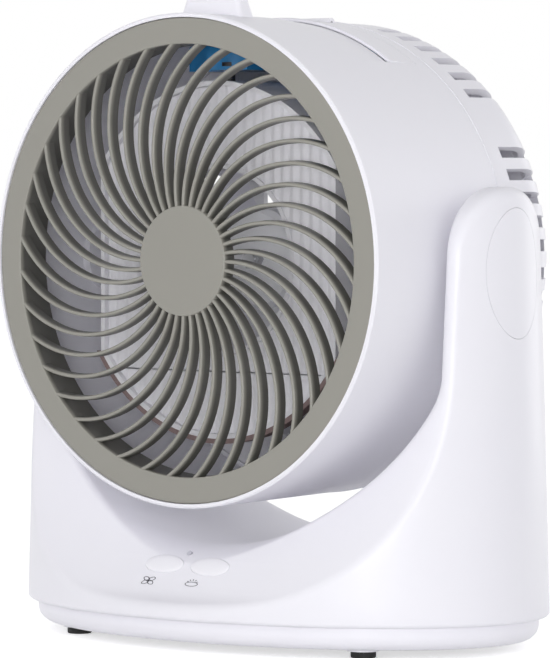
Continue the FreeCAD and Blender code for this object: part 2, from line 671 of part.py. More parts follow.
base_shell = cut(
    "base_shell_solid", fuse("base_shell_blank", skin, *sockets, *stud_blanks, *posts, collar),
    *windows, *pin_holes, *button_holes,
    *studs("shell_stud_hole", "screw_radius", "split_height - 1", "split_height + stud_bite + 1"),
    fascia_rod("lens_hole", "lens_radius + fit_gap", "-board_depth", "button_rise", "lens_offset", "lens_above"),
    rod("inlet_hole", "inlet_radius + fit_gap", "2 * inlet_length", "y", y="inlet_face - 1.5 * inlet_length",
        z="inlet_height"),
    rod("inlet_seat", "inlet_collar", "inlet_length", "y", y="inlet_face", z="inlet_height"))
node(base_shell, "base_shell")

# Arm caps: the oval pieces of the arms' outer wall that close the pivots
for sign, side in ((1, "right"), (-1, "left")):
    wall_piece = cut(side + "_arm_wall", smooth, hollow)
    node(common(side + "_arm_cap_solid", wall_piece, cap_prism(side + "_cap_prism", "fit_gap", sign)),
         side + "_arm_cap")

# Base plate: a shallow oval tray that closes the shell from below
PLATE_X = "(%s - plate_inset)" % HALF_WIDTH
PLATE_Y = "(base_half_depth - plate_inset)"


def oval_disc(name, half_width, half_depth, low, high):
    """Upright oval prism between two heights."""
    prism = doc.addObject("Part::Extrusion", name)
    prism.Base = oval(name + "_oval", half_width, half_depth, low)
    prism.DirMode = "Normal"
    prism.Solid = True
    return bind(prism, LengthFwd="(%s) - (%s)" % (high, low))


def feet(name, radius, low, high):
    """Four upright cylinders at the feet."""
    return [rod("%s_%d%d" % (name, i, k), radius, "(%s) - (%s)" % (high, low), "z", x, y, low)
            for i, x in enumerate(("-foot_x", "foot_x")) for k, y in enumerate(("-foot_y", "foot_y"))]


tray = rounded("tray", oval_disc("tray_blank", PLATE_X, PLATE_Y, "plate_bottom", "split_height"), "plate_round",
               lambda shape, edge: abs(edge.BoundBox.ZMax - value("plate_bottom")) < value("fit_gap"))
FLANGE_INSET = "(shell_wall + fit_gap)"
flange = oval_disc("tray_flange", "%s - %s" % (HALF_WIDTH, FLANGE_INSET), "base_half_depth - %s" % FLANGE_INSET,
                   "split_height", "split_height + plate_flange")
well = oval_disc("tray_well", PLATE_X + " - plate_wall", PLATE_Y + " - plate_wall", "plate_bottom + plate_wall",
                 "split_height + 2 * plate_flange")
plate_blank = fuse("plate_blank", cut("tray_open", fuse("tray_stepped", tray, flange), well),
                   *studs("plate_stud", "stud_radius", "plate_bottom", "split_height"),
                   *feet("foot_cup", "cup_radius", "foot_height", "plate_bottom + plate_wall"))
HEAD_SEAT = "(plate_bottom + screw_head_height + fit_gap)"
node(cut("base_plate_solid", plate_blank,
         *studs("plate_screw_hole", "screw_radius + fit_gap", "foot_height", "split_height + 1"),
         *studs("plate_head_hole", "screw_head + fit_gap", "foot_height", HEAD_SEAT)), "base_plate")

# Rubber feet, pressed against their cups
node(group("rubber_feet_set", [
    rounded("%s_round" % foot.Name, foot, "foot_height / 4",
            lambda shape, edge: edge.BoundBox.ZMax < value("foot_height / 2"))
    for foot in feet("rubber_foot", "foot_radius", "0", "foot_height")]), "rubber_feet")

# Base screws, from below through the plate into the shell's studs
heads = studs("base_screw_head", "screw_head", "plate_bottom + fit_gap", HEAD_SEAT)
shanks = studs("base_screw_shank", "screw_radius", HEAD_SEAT, "split_height + stud_bite")
node(group("base_screw_set", [fuse("base_screw_%d" % i, *pair) for i, pair in enumerate(zip(heads, shanks))]),
     "base_screws")

# Pivot pins: pressed into the arms, running in the drum's bosses
for sign, side in ((1, "right"), (-1, "left")):
    shank = side_rod(side + "_pin_shank", "pin_radius", "drum_radius - pin_reach", PIN_END, sign)
    head = side_rod(side + "_pin_head_disc", "pin_head", PIN_END, PIN_END + " + pin_head_thick", sign)
    node(fuse(side + "_pivot_pin_solid", shank, head), side + "_pivot_pin")

# Friction washers between the arms and the drum's bosses
WASHER_LOW = "%s - washer_thick" % ARM_INNER
node(group("friction_washer_set", both_sides(lambda sign, side: cut(
    side + "_friction_washer", side_rod(side + "_washer_disc", "washer_radius", WASHER_LOW, ARM_INNER, sign),
    side_rod(side + "_washer_hole", "pin_radius + fit_gap", WASHER_LOW, ARM_INNER, sign)))), "friction_washers")

# Buttons: raised ovals with a skirt under the shell and a stem over their switch
STEM_END = "switch_height + button_travel + fit_gap - board_depth"
for name, x in BUTTONS.items():
    crown = rounded(name + "_crown", fascia_oval(name + "_face", "0", "-button_depth", "button_rise", x),
                    "button_round", lambda shape, edge: edge.CenterOfMass.sub(
                        V(value(x), value(FASCIA_Y), value(FASCIA_Z))).dot(
                        V(0, -value("cos(button_angle)"), value("sin(button_angle)"))) > 0)
    skirt = fascia_oval(name + "_skirt", "button_skirt", "-button_depth", "-shell_wall - 6 * run_gap", x)
    stem = fascia_rod(name + "_stem", "stem_radius", STEM_END, "-button_depth", x)
    node(fuse(name + "_solid", crown, skirt, stem), name)

# Control board under the fascia, its two switches and the indicator light
board = block("board_blank", ("-board_half_width", "board_half_width"), ("-board_below", "board_above"),
              ("-board_depth - board_thick", "-board_depth"))
node(on_fascia(group("board_set", [board])), "control_board")
switch_list = [block(name + "_switch", ("%s - switch_size / 2" % x, "%s + switch_size / 2" % x),
                     ("-switch_size / 2", "switch_size / 2"), ("-board_depth", "switch_height - board_depth"))
               for name, x in BUTTONS.items()]
node(on_fascia(group("tact_switch_set", switch_list)), "tact_switches")
node(fascia_rod("indicator_rod", "lens_radius", "-board_depth", "fit_gap - lens_sink", "lens_offset", "lens_above"),
     "indicator_lens")

# Power socket in its collar at the back of the base
barrel = rod("inlet_barrel", "inlet_radius", "inlet_length", "y", y="inlet_face - inlet_length", z="inlet_height")
inlet_rim = rod("inlet_rim_disc", "inlet_collar - fit_gap", "inlet_lip", "y", y="inlet_face", z="inlet_height")
inlet_hollow = rod("inlet_hollow", "inlet_bore", "inlet_depth + 2 * inlet_lip", "y", y="inlet_face - inlet_depth",
                   z="inlet_height")
inlet_pin = rod("inlet_pin_rod", "inlet_pin", "inlet_depth", "y", y="inlet_face - inlet_depth - inlet_lip",
                z="inlet_height")
inlet_shell = cut("inlet_shell", fuse("inlet_body", barrel, inlet_rim), inlet_hollow)
node(fuse("power_inlet_solid", inlet_shell, inlet_pin), "power_inlet")

# Drum shell: a plain tube with a ledge for the grille, pivot bosses and the hatch for the tank lid
LEDGE = "(grille_recess + grille_plate)"
drum_tube = drum_body("drum_tube")
turned(drum_tube, "drum_wall_ring", [
    ("0", DRUM_BORE), ("0", "drum_radius - rim_chamfer"), ("rim_chamfer", "drum_radius"),
    ("drum_length", DRUM_REAR), ("drum_length", DRUM_BORE + " - drum_taper"), (LEDGE + " + ledge_thick", DRUM_BORE),
    (LEDGE + " + ledge_thick", DRUM_BORE + " - ledge_width"), (LEDGE, DRUM_BORE + " - ledge_width"),
    (LEDGE, DRUM_BORE)])
bosses = both_sides(lambda sign, side: side_rod(
    side + "_boss", "boss_radius", "drum_radius - boss_inside", BOSS_FACE, sign))
boss_bores = both_sides(lambda sign, side: side_rod(
    side + "_boss_bore", "pin_radius + shaft_gap", "drum_radius - 2 * boss_inside", ARM_INNER, sign))
TOP = "%s + drum_radius" % AXIS
HATCH_X = "(lid_half_width + run_gap)"
NOTCH_X = "(knuckle_half + run_gap)"
hatch = block("hatch", ("-" + HATCH_X, HATCH_X), (from_front("lid_front - run_gap"), from_front(HINGE_Y + " + 0.4")),
              (AXIS + " + drum_radius / 2", TOP + " + 1"))
knuckle_notch = block("knuckle_notch", ("-" + NOTCH_X, NOTCH_X),
                      (from_front(HINGE_Y), from_front(HINGE_Y + " + hinge_radius + 2 * run_gap")),
                      (AXIS + " + drum_radius / 2", TOP + " + 1"))


def lug(sign, side):
    """Hinge lug behind the hatch: a short barrel on a foot that grows out of the drum wall."""
    low, high = NOTCH_X, "%s + lug_width" % NOTCH_X
    barrel_part = side_rod(side + "_lug_barrel", "hinge_radius", low, high, sign, "%s + %s" % (AXIS, HINGE_Z),
                           from_front(HINGE_Y))
    span = (low, high) if sign > 0 else ("-(%s)" % high, "-" + low)
    foot = block(side + "_lug_foot", span, (from_front(HINGE_Y), from_front(HINGE_Y + " + hinge_radius + 2 * run_gap")),
                 ("%s + %s - hinge_radius * 0.75" % (AXIS, HINGE_Z), "%s + %s + hinge_radius * 0.1" % (AXIS, HINGE_Z)))
    return fuse(side + "_lug", barrel_part, foot)


def drum_at(depth):
    """Outside of the tapered drum at a depth behind its front plane."""
    return "(drum_radius - drum_taper * (%s) / drum_length)" % depth


SCOOP_FRONT = "(lid_front - scoop_length)"
SCOOP_BACK = "(lid_front - run_gap)"
scoop_ring = drum_body("scoop_ring")
turned(scoop_ring, "scoop_turned", [
    (SCOOP_FRONT, drum_at(SCOOP_FRONT)), (SCOOP_FRONT, "drum_radius + 1"), (SCOOP_BACK, "drum_radius + 1"),
    (SCOOP_BACK, drum_at("lid_front") + " - scoop_depth")])
scoop = common("scoop", scoop_ring, block(
    "scoop_span", ("-lid_half_width", "lid_half_width"), (from_front(SCOOP_FRONT + " - 1"), from_front("lid_front")),
    (AXIS + " + drum_radius / 2", TOP + " + 2")))
LUG_END = "(%s + lug_width)" % NOTCH_X
pin_hole = rod("hinge_pin_hole", "hinge_pin", "2 * " + LUG_END, "x", "-" + LUG_END, from_front(HINGE_Y),
               "%s + %s" % (AXIS, HINGE_Z))
drum_open = cut("drum_open", fuse("drum_bossed", drum_tube, *bosses), hatch, knuckle_notch, scoop, *boss_bores)
node(cut("drum_shell_solid", fuse("drum_lugged", drum_open, *both_sides(lug)), pin_hole), "drum_shell")

# Hinge pin of the lid, pressed into the lugs
node(rod("lid_hinge_pin_rod", "hinge_pin", "2 * " + LUG_END, "x", "-" + LUG_END, from_front(HINGE_Y),
         "%s + %s" % (AXIS, HINGE_Z)), "lid_hinge_pin")

# Tank lid: a strip of the drum wall with a raised finger lip in front and a knuckle behind
lid_ring = drum_body("lid_ring")
LIP = drum_at("lid_front") + " + lip_height"
LID_UNDER = drum_at(HINGE_Y) + " - drum_wall"
LIP_UNDER = drum_at("lid_front") + " - scoop_depth + run_gap"
turned(lid_ring, "lid_turned", [
    ("lid_front + lid_undercut", LID_UNDER), ("lid_front + lid_undercut", LIP_UNDER),
    ("lid_front", LIP_UNDER), ("lid_front", LIP + " - rim_chamfer / 2"),
    ("lid_front + rim_chamfer", LIP),
    ("lid_front + lip_length", drum_at("lid_front + lip_length")), (HINGE_Y, drum_at(HINGE_Y)), (HINGE_Y, LID_UNDER)])
lid_span = block("lid_span", ("-lid_half_width", "lid_half_width"),
                 (from_front("lid_front - 1"), from_front(HINGE_Y + " + 1")),
                 (AXIS + " + drum_radius / 2", TOP + " + 2 * lip_height"))
HINGE_HEIGHT = "%s + %s" % (AXIS, HINGE_Z)
lug_gaps = both_sides(lambda sign, side: side_rod(
    side + "_lug_gap", "hinge_radius + run_gap", "knuckle_half", LUG_END + " + run_gap", sign, HINGE_HEIGHT,
    from_front(HINGE_Y)))
knuckle = rod("lid_knuckle", "hinge_radius", "2 * knuckle_half", "x", "-knuckle_half", from_front(HINGE_Y), HINGE_HEIGHT)
knuckle_bore = rod("lid_knuckle_bore", "hinge_pin + shaft_gap", "2 * knuckle_half + 2", "x", "-knuckle_half - 1",
                   from_front(HINGE_Y), HINGE_HEIGHT)
lid_plate = cut("lid_plate", common("lid_strip", lid_ring, lid_span), *lug_gaps)
node(cut("tank_lid_solid", fuse("lid_knuckled", lid_plate, knuckle), knuckle_bore), "tank_lid")

# Tilt grip: the finger tab on top of the drum, just behind the grille
grip_foot = doc.addObject("Part::Plane", "grip_foot")
bind(grip_foot, Length="grip_width", Width="grip_depth")
place(grip_foot, "-grip_width / 2", from_front("grip_y - grip_depth / 2"), TOP + " - 2 * drum_wall")
grip_crown = doc.addObject("Part::Plane", "grip_crown")
bind(grip_crown, Length="grip_top", Width="grip_top_depth")
place(grip_crown, "-grip_top / 2", from_front("grip_y - grip_top_depth / 2"), TOP + " + grip_height")
grip_block = doc.addObject("Part::Loft", "grip_block")
grip_block.Sections = [grip_foot, grip_crown]
grip_block.Solid = True
grip_block.Ruled = True
grip_soft = rounded("grip_soft", grip_block, "grip_round",
                    lambda shape, edge: edge.CenterOfMass.z > value(TOP))
grip_seat = bind(doc.addObject("Part::Cone", "grip_seat"), Radius1="drum_radius", Radius2=DRUM_REAR, Height="drum_length")
place(grip_seat, y="-drum_front", z=AXIS, turn=ALONG["y"])
node(cut("tilt_grip_solid", grip_soft, grip_seat), "tilt_grip")

# Front grille: ring and collar, bare middle disc and the spiral of slats between them
grille = place(body("front_grille_solid"), y="grille_recess - drum_front", z=AXIS)
turned(grille, "grille_ring", [
    ("0", OPENING), ("0", RING + " - rim_chamfer"), ("rim_chamfer", RING), ("grille_plate", RING),
    ("grille_plate", OPENING + " + collar_wall"), ("collar_depth", OPENING + " + collar_wall"),
    ("collar_depth", OPENING)])
turned(grille, "grille_disc", [
    ("0", "0"), ("0", "hub_radius - rim_chamfer"), ("rim_chamfer", "hub_radius"), ("hub_depth", "hub_radius"),
    ("hub_depth", "hub_radius - hub_wall"), ("hub_wall", "hub_radius - hub_wall"), ("hub_wall", "0")])


def slat_sketch(owner):
    """One slat: two arcs about a point beside the disc, which leave the disc squarely and sweep clockwise."""
    sketch = sketch_on(owner, "slat_profile", "XZ_Plane")
    curve, start = value("slat_curve"), value("hub_radius")
    inner, outer = value("hub_radius - slat_bury"), value(OPENING + " + slat_bury")
    for radius in (inner, outer):
        sketch.addGeometry(Part.Circle(V(), V(0, 0, 1), radius), True)
    span = math.hypot(curve, start)
    lean = math.atan2(-start, -curve)
    arcs = []
    for text in ("slat_curve + slat_thick / 2", "slat_curve - slat_thick / 2"):
        radius = value(text)
        angles = [lean - math.acos((radius ** 2 + span ** 2 - limit ** 2) / (2 * radius * span))
                  for limit in (outer, inner)]
        circle = Part.Circle(V(curve, start, 0), V(0, 0, 1), radius)
        arcs.append(sketch.addGeometry(Part.ArcOfCircle(circle, *angles), False))
    ends = [(sketch.getPoint(arc, 1), sketch.getPoint(arc, 2)) for arc in arcs]
    lines = [sketch.addGeometry(Part.LineSegment(ends[0][k], ends[1][k]), False) for k in (0, 1)]
    for k, line in enumerate(lines):
        for point, arc in enumerate(arcs, 1):
            sketch.addConstraint(Sketcher.Constraint("Coincident", line, point, arc, k + 1))
    for circle, text in ((0, "hub_radius - slat_bury"), (1, OPENING + " + slat_bury")):
        sketch.addConstraint(Sketcher.Constraint("Coincident", circle, 3, -1, 1))
        k = sketch.addConstraint(Sketcher.Constraint("Radius", circle, value(text)))
        sketch.setExpression("Constraints[%d]" % k, bound(text))
    for arc, text in zip(arcs, ("slat_curve + slat_thick / 2", "slat_curve - slat_thick / 2")):
        k = sketch.addConstraint(Sketcher.Constraint("Radius", arc, value(text)))
        sketch.setExpression("Constraints[%d]" % k, bound(text))
        sketch.addConstraint(Sketcher.Constraint("PointOnObject", arc, 1, 1))
        sketch.addConstraint(Sketcher.Constraint("PointOnObject", arc, 2, 0))
    sketch.addConstraint(Sketcher.Constraint("Coincident", arcs[0], 3, arcs[1], 3))
    for kind, text in (("DistanceX", "slat_curve"), ("DistanceY", "hub_radius")):
        k = sketch.addConstraint(Sketcher.Constraint(kind, -1, 1, arcs[0], 3, value(text)))
        sketch.setExpression("Constraints[%d]" % k, bound(text))
    return sketch


slat = padded(grille, "slat", slat_sketch(grille), "slat_depth")
repeated(grille, "slats", slat, "Y_Axis", "slat_count")
node(grille, "front_grille")

# Rear cover: a shallow turned dish with vent slots over its shoulder and an intake lattice in its face
SHOULDER = "(drum_length + rear_straight)"
REAR_OUT = "(%s - rear_step)" % DRUM_REAR
ROUND_MID = "(%s - rear_step - rear_round)" % DRUM_REAR
INNER_ROUND = "(%s - %s)" % (SPIGOT_BORE, ROUND_MID)
REACH = "(rear_depth - rear_straight)"
dish = drum_body("rear_dish")
turned(dish, "rear_dish_turned", [
    ("drum_length - spigot_length", SPIGOT_BORE), ("drum_length - spigot_length", SPIGOT), ("drum_length", SPIGOT),
    ("drum_length", REAR_OUT), (SHOULDER, REAR_OUT),
    (REAR, "%s + sqrt(rear_round ^ 2 - %s ^ 2)" % (ROUND_MID, REACH), "-rear_round"),
    (REAR, "0"), (REAR + " - rear_wall", "0"),
    (REAR + " - rear_wall", "%s + sqrt(%s ^ 2 - (%s - rear_wall) ^ 2)" % (ROUND_MID, INNER_ROUND, REACH)),
    (SHOULDER, SPIGOT_BORE, INNER_ROUND), ("drum_length", SPIGOT_BORE),
    ("drum_length", SPIGOT_BORE + " - rest_width"), (REST, SPIGOT_BORE + " - rest_width"), (REST, SPIGOT_BORE)])


def around_drum(shape, angle):
    """A copy of a shape drawn on the drum's own axis, turned clockwise from the top by an angle."""
    return shape.rotated(V(), V(0, 1, 0), angle)


def slot_angles():
    """Angles of the vent slots from the top: two groups in each quarter, with blank fields between them."""
    quarter = [value(part + "_first") + i * value(part + "_pitch")
               for part in ("top", "side") for i in range(round(value(part + "_slots")))]
    return [sign * angle for angle in quarter for sign in (1, -1)] + \
           [180 + sign * angle for angle in quarter for sign in (1, -1)]


def lattice_cells():
    """Middles of the square holes of the intake."""
    pitch, radius, blank = value("lattice_pitch"), value("lattice_radius"), value("lattice_blank")
    steps = range(-int(radius / pitch) - 1, int(radius / pitch) + 2)
    spots = [((i + 0.5) * pitch, (k + 0.5) * pitch) for i in steps for k in steps]
    return [(x, z) for x, z in spots if blank < math.hypot(x, z) < radius - pitch / 2]


slot_depth = value("rear_depth - slot_start - slot_rim")
slot_high = value("slot_reach") + 1
slot_box = Part.makeBox(value("slot_width"), slot_depth, slot_high,
                        V(-value("slot_width") / 2, value("drum_length + slot_start"), value("drum_radius - slot_reach")))
cell = value("lattice_pitch - lattice_bar")
cell_box = Part.makeBox(cell, 3 * value("rear_wall"), cell, V(-cell / 2, value(REAR + " - 2 * rear_wall"), -cell / 2))
vents = doc.addObject("Part::Feature", "vent_cutters")
vents.Shape = Part.makeCompound([around_drum(slot_box, angle) for angle in slot_angles()] +
                                [cell_box.translated(V(x, 0, z)) for x, z in lattice_cells()])
place(vents, y="-drum_front", z=AXIS)


def rear_posts(name, radius, low, high):
    """Four cylinders along the drum's axis at the rear screws."""
    return [rod("%s_%d%d" % (name, i, k), radius, "(%s) - (%s)" % (high, low), "y",
                "%s post_circle * sin(post_angle)" % side, from_front(low),
                "%s %s post_circle * cos(post_angle)" % (AXIS, level))
            for i, side in enumerate(("-", "")) for k, level in enumerate(("-", "+"))]


SCREW_SEAT = "(%s - screw_head_height - 2 * fit_gap)" % REAR
node(cut("rear_cover_solid",
         fuse("rear_posted", cut("rear_vented", dish, vents),
              *rear_posts("rear_post", "post_radius", REST, REAR + " - rear_wall / 2")),
         *rear_posts("rear_screw_hole", "screw_radius + fit_gap", REST + " - 1", REAR + " + 1"),
         *rear_posts("rear_head_hole", "screw_head + fit_gap", SCREW_SEAT, REAR + " + 1")), "rear_cover")

# Inner duct: a tube with flat sides in front of a round flange; the flange is clamped in the rear cover
def duct_corners(inset):
    """Round top and bottom, flat sides, all drawn in by an inset."""
    radius = "(duct_radius - (%s))" % inset
    flat = "(duct_flat - (%s))" % inset
    rise = "sqrt(%s ^ 2 - %s ^ 2)" % (radius, flat)
    return [(flat, rise), ("-" + flat, rise, radius), ("-" + flat, "-" + rise), (flat, "-" + rise, radius)]


def duct_prism(name, inset, low, high):
    """The duct's outline, drawn in by an inset, between two depths behind the front plane."""
    owner = drum_body(name)
    sketch = sketch_on(owner, name + "_profile", "XZ_Plane", "-(%s)" % low)
    outline(sketch, duct_corners(inset))
    padded(owner, name + "_pad", sketch, "(%s) - (%s)" % (high, low))
    return owner


def drum_disc(name, radius, low, high):
    """A disc on the drum's axis between two depths behind the front plane."""
    return rod(name, radius, "(%s) - (%s)" % (high, low), "y", y=from_front(low), z=AXIS)


FLANGE_FRONT = "(%s - flange_thick)" % REST
LEDGE_BACK = "(pad_back + frame_bar + duct_wall)"
rails = [block("tank_rail_%d" % i, (x + " - rail_width / 2", x + " + rail_width / 2"),
               (from_front("tank_front"), from_front(FLANGE_FRONT)),
               ("%s + duct_radius * 0.9" % AXIS, "%s + %s - run_gap" % (AXIS, TANK_FLOOR)))
         for i, x in enumerate(("-rail_offset", "rail_offset"))]
duct_tube = fuse("duct_tube", duct_prism("duct_outside", "0", "duct_front", REST),
                 drum_disc("duct_flange", SPIGOT_BORE + " - run_gap", FLANGE_FRONT, REST), *rails)
duct_hollow = cut("duct_hollow", duct_prism("duct_inside", "duct_wall", "duct_front - 1", REST + " + 1"),
                  cut("duct_ledge", duct_prism("duct_ledge_outside", "0", "pad_back + frame_bar", LEDGE_BACK),
                      duct_prism("duct_ledge_inside", "duct_wall + pad_ledge", "pad_back", LEDGE_BACK + " + 1")))
DRIP_Y = "((nose_front + pad_back) / 2)"


def bracket_spots(name, radius, low, high):
    """Four cylinders along the drum's axis in the rim of the motor bracket."""
    reach = "(duct_radius + bracket_rim / 2 + fit_gap) * sqrt(0.5)"
    return [rod("%s_%d%d" % (name, i, k), radius, "(%s) - (%s)" % (high, low), "y", side + reach, from_front(low),
                "%s %s %s" % (AXIS, level, reach))
            for i, side in enumerate(("-", "")) for k, level in enumerate(("-", "+"))]


drip_hole = rod("drip_hole", "drip_radius + fit_gap", "3 * tank_rise", "z", y=from_front(DRIP_Y),
                z="%s + duct_radius - tank_rise" % AXIS)
node(cut("inner_duct_solid", duct_tube, duct_hollow, drip_hole,
         *rear_posts("duct_screw_hole", "screw_radius", FLANGE_FRONT + " - 1", REST + " + 1"),
         *bracket_spots("duct_bracket_hole", "screw_radius", FLANGE_FRONT + " - 1", REST + " + 1")), "inner_duct")

# Foam strip round the lower half of the duct's front
seal_ring = cut("seal_ring", drum_disc("seal_outside", "duct_radius + seal_thick", "duct_front", "duct_front + seal_width"),
                drum_disc("seal_inside", "duct_radius", "duct_front", "duct_front + seal_width"))
SEAL_TOP = "%s - sqrt(duct_radius ^ 2 - duct_flat ^ 2)" % AXIS
node(common("duct_seal_solid", seal_ring, block(
    "seal_span", ("-2 * duct_radius", "2 * duct_radius"), (from_front("duct_front - 1"), from_front("duct_front + 2 * seal_width")),
    ("0", SEAL_TOP))), "duct_seal")

# Wick pad in the front of the duct, and the frame that holds it off the ledge
WET_INSET = "(duct_wall + fit_gap)"
node(cut("wick_pad_solid", duct_prism("wick_blank", WET_INSET, "pad_front", "pad_back"),
         drum_disc("wick_opening", "pad_opening", "pad_front - 1", "pad_back + 1")), "wick_pad")
frame_plate = duct_prism("frame_plate", WET_INSET, "pad_back", "pad_back + frame_bar")
HALF_BAR = "frame_width / 2"
cross = fuse("frame_cross",
             block("frame_level", ("-duct_radius", "duct_radius"), (from_front("pad_back"), from_front("pad_back + frame_bar")),
                   ("%s - %s" % (AXIS, HALF_BAR), "%s + %s" % (AXIS, HALF_BAR))),
             block("frame_upright", ("-" + HALF_BAR, HALF_BAR), (from_front("pad_back"), from_front("pad_back + frame_bar")),
                   ("%s - duct_radius" % AXIS, "%s + duct_radius" % AXIS)))
FRAME_RING = "(pad_opening - fit_gap)"
node(cut("pad_frame_solid",
         fuse("frame_whole", common("frame_bars", frame_plate, cross),
              drum_disc("frame_tube", FRAME_RING, "pad_front", "pad_back + frame_bar")),
         drum_disc("frame_opening", FRAME_RING + " - frame_ring", "pad_front - 1", "pad_back + frame_bar + 1")),
     "pad_frame")

# Water tank under the lid, with a spout that reaches over the wick pad
FLOOR = "%s + %s" % (AXIS, TANK_FLOOR)
TANK_TOP = "(%s - drum_wall - tank_clear)" % DRUM_REAR


def tank_block(name, half, low, high, floor, top):
    return block(name, ("-" + half, half), (from_front(low), from_front(high)), (floor, top))


tank_outer = common("tank_outer", tank_block("tank_blank", "tank_half_width", "tank_front", "tank_back", FLOOR, TOP),
                    drum_disc("tank_ceiling", TANK_TOP, "tank_front", "tank_back"))
nose = tank_block("tank_nose", "nose_half_width", "nose_front", "tank_front + tank_wall", FLOOR, FLOOR + " + nose_height")
tank_inner = tank_block("tank_inner", "(tank_half_width - tank_wall)", "tank_front + tank_wall", "tank_back - tank_wall",
                        FLOOR + " + tank_wall", TOP)
nose_inner = tank_block("nose_inner", "(nose_half_width - tank_wall)", "nose_front + tank_wall",
                        "tank_front + 2 * tank_wall", FLOOR + " + tank_wall", FLOOR + " + nose_height - tank_wall")
node(cut("water_tank_solid", fuse("tank_whole", tank_outer, nose), tank_inner, nose_inner,
         rod("tank_drip_hole", "drip_radius", "2 * tank_wall", "z", y=from_front(DRIP_Y), z=FLOOR + " - tank_wall / 2")),
     "water_tank")

# Drip nozzle from the spout through the duct onto the pad
DRIP_LOW = "%s + duct_radius - duct_wall + fit_gap" % AXIS
drip_tube = rod("drip_tube", "drip_radius", "(%s + tank_wall) - (%s)" % (FLOOR, DRIP_LOW), "z", y=from_front(DRIP_Y), z=DRIP_LOW)
drip_head = rod("drip_head", "1.6 * drip_radius", "tank_wall", "z", y=from_front(DRIP_Y), z=FLOOR + " + tank_wall")
node(cut("drip_nozzle_solid", fuse("drip_whole", drip_tube, drip_head),
         rod("drip_bore_rod", "drip_bore", "4 * tank_rise", "z", y=from_front(DRIP_Y), z=DRIP_LOW + " - 1")), "drip_nozzle")

# Motor, and the spider that carries it on the duct's flange
motor = drum_body("motor_housing_solid")
MOTOR_BACK = "(motor_front + motor_length)"
turned(motor, "motor_can", [
    ("motor_front - hub_wall", "shaft_radius + shaft_gap"), ("motor_front - hub_wall", "motor_nose"),
    ("motor_front", "motor_nose"), ("motor_front", "motor_radius - hub_wall"), ("motor_front + hub_wall", "motor_radius"),
    (MOTOR_BACK + " - hub_wall", "motor_radius"), (MOTOR_BACK, "motor_radius - hub_wall"), (MOTOR_BACK, "0"),
    (MOTOR_BACK + " - hub_wall", "0"), (MOTOR_BACK + " - hub_wall", "shaft_radius + shaft_gap")])
node(motor, "motor_housing")
BRACKET_BACK = "(%s + bracket_thick)" % REST
arms = [block("bracket_arm_level", ("-duct_radius - bracket_rim / 2", "duct_radius + bracket_rim / 2"),
              (from_front(REST), from_front(BRACKET_BACK)),
              ("%s - bracket_arm / 2" % AXIS, "%s + bracket_arm / 2" % AXIS)),
        block("bracket_arm_upright", ("-bracket_arm / 2", "bracket_arm / 2"), (from_front(REST), from_front(BRACKET_BACK)),
              ("%s - duct_radius - bracket_rim / 2" % AXIS, "%s + duct_radius + bracket_rim / 2" % AXIS))]
rim = cut("bracket_rim_ring", drum_disc("bracket_rim_outside", "duct_radius + bracket_rim + fit_gap", REST, BRACKET_BACK),
          drum_disc("bracket_rim_inside", "duct_radius + fit_gap", REST, BRACKET_BACK))
node(cut("motor_bracket_solid",
         fuse("bracket_whole", rim, *arms, drum_disc("bracket_hub", "motor_radius + bracket_ring", REST, BRACKET_BACK)),
         drum_disc("bracket_bore", "motor_radius", REST + " - 1", BRACKET_BACK + " + 1"),
         *bracket_spots("bracket_hole", "screw_radius + fit_gap", REST + " - 1", BRACKET_BACK + " + 1")), "motor_bracket")

# Screws of the motor bracket and of the rear cover
bracket_heads = bracket_spots("bracket_screw_head", "screw_head", BRACKET_BACK, BRACKET_BACK + " + screw_head_height")
bracket_shanks = bracket_spots("bracket_screw_shank", "screw_radius", FLANGE_FRONT + " - fit_gap", BRACKET_BACK)
node(group("bracket_screw_set", [fuse("bracket_screw_%d" % i, *pair)
                                 for i, pair in enumerate(zip(bracket_heads, bracket_shanks))]), "bracket_screws")
rear_heads = rear_posts("rear_screw_head", "screw_head", SCREW_SEAT, SCREW_SEAT + " + screw_head_height")
rear_shanks = rear_posts("rear_screw_shank", "screw_radius", FLANGE_FRONT + " - fit_gap", SCREW_SEAT)
node(group("rear_screw_set", [fuse("rear_screw_%d" % i, *pair)
                              for i, pair in enumerate(zip(rear_heads, rear_shanks))]), "rear_screws")

# Impeller: a cup hub with twisted blades, its shaft and its nut
impeller = drum_body("impeller_solid")
FAN_BACK = "(fan_front + fan_depth)"
turned(impeller, "fan_hub_cup", [
    ("fan_front", "shaft_radius"), ("fan_front", "fan_hub - fan_wall"), ("fan_front + fan_wall", "fan_hub"),
    (FAN_BACK, "fan_hub"), (FAN_BACK, "fan_hub - fan_wall"), ("fan_front + 2 * fan_wall", "fan_hub - fan_wall"),
    ("fan_front + 2 * fan_wall", "2 * shaft_radius"), (FAN_BACK, "2 * shaft_radius"), (FAN_BACK, "shaft_radius")])
BLADE_Y = "(fan_front + fan_depth / 2)"


def blade_section(name, reach, chord, pitch):
    """Slanted section of the blade, square to its radius."""
    along = ("%s / 2 * sin(%s)" % (chord, pitch), "%s / 2 * cos(%s)" % (chord, pitch))
    across = ("blade_thick / 2 * cos(%s)" % pitch, "blade_thick / 2 * sin(%s)" % pitch)
    corners = [("%s %s %s %s %s" % (BLADE_Y, one, along[0], two, across[0]),
                "0 * blade_thick %s %s %s %s" % (one, along[1], "-" if two == "+" else "+", across[1]))
               for one, two in (("+", "+"), ("+", "-"), ("-", "-"), ("-", "+"))]
    return outline(sketch_on(impeller, name, "YZ_Plane", reach), corners)


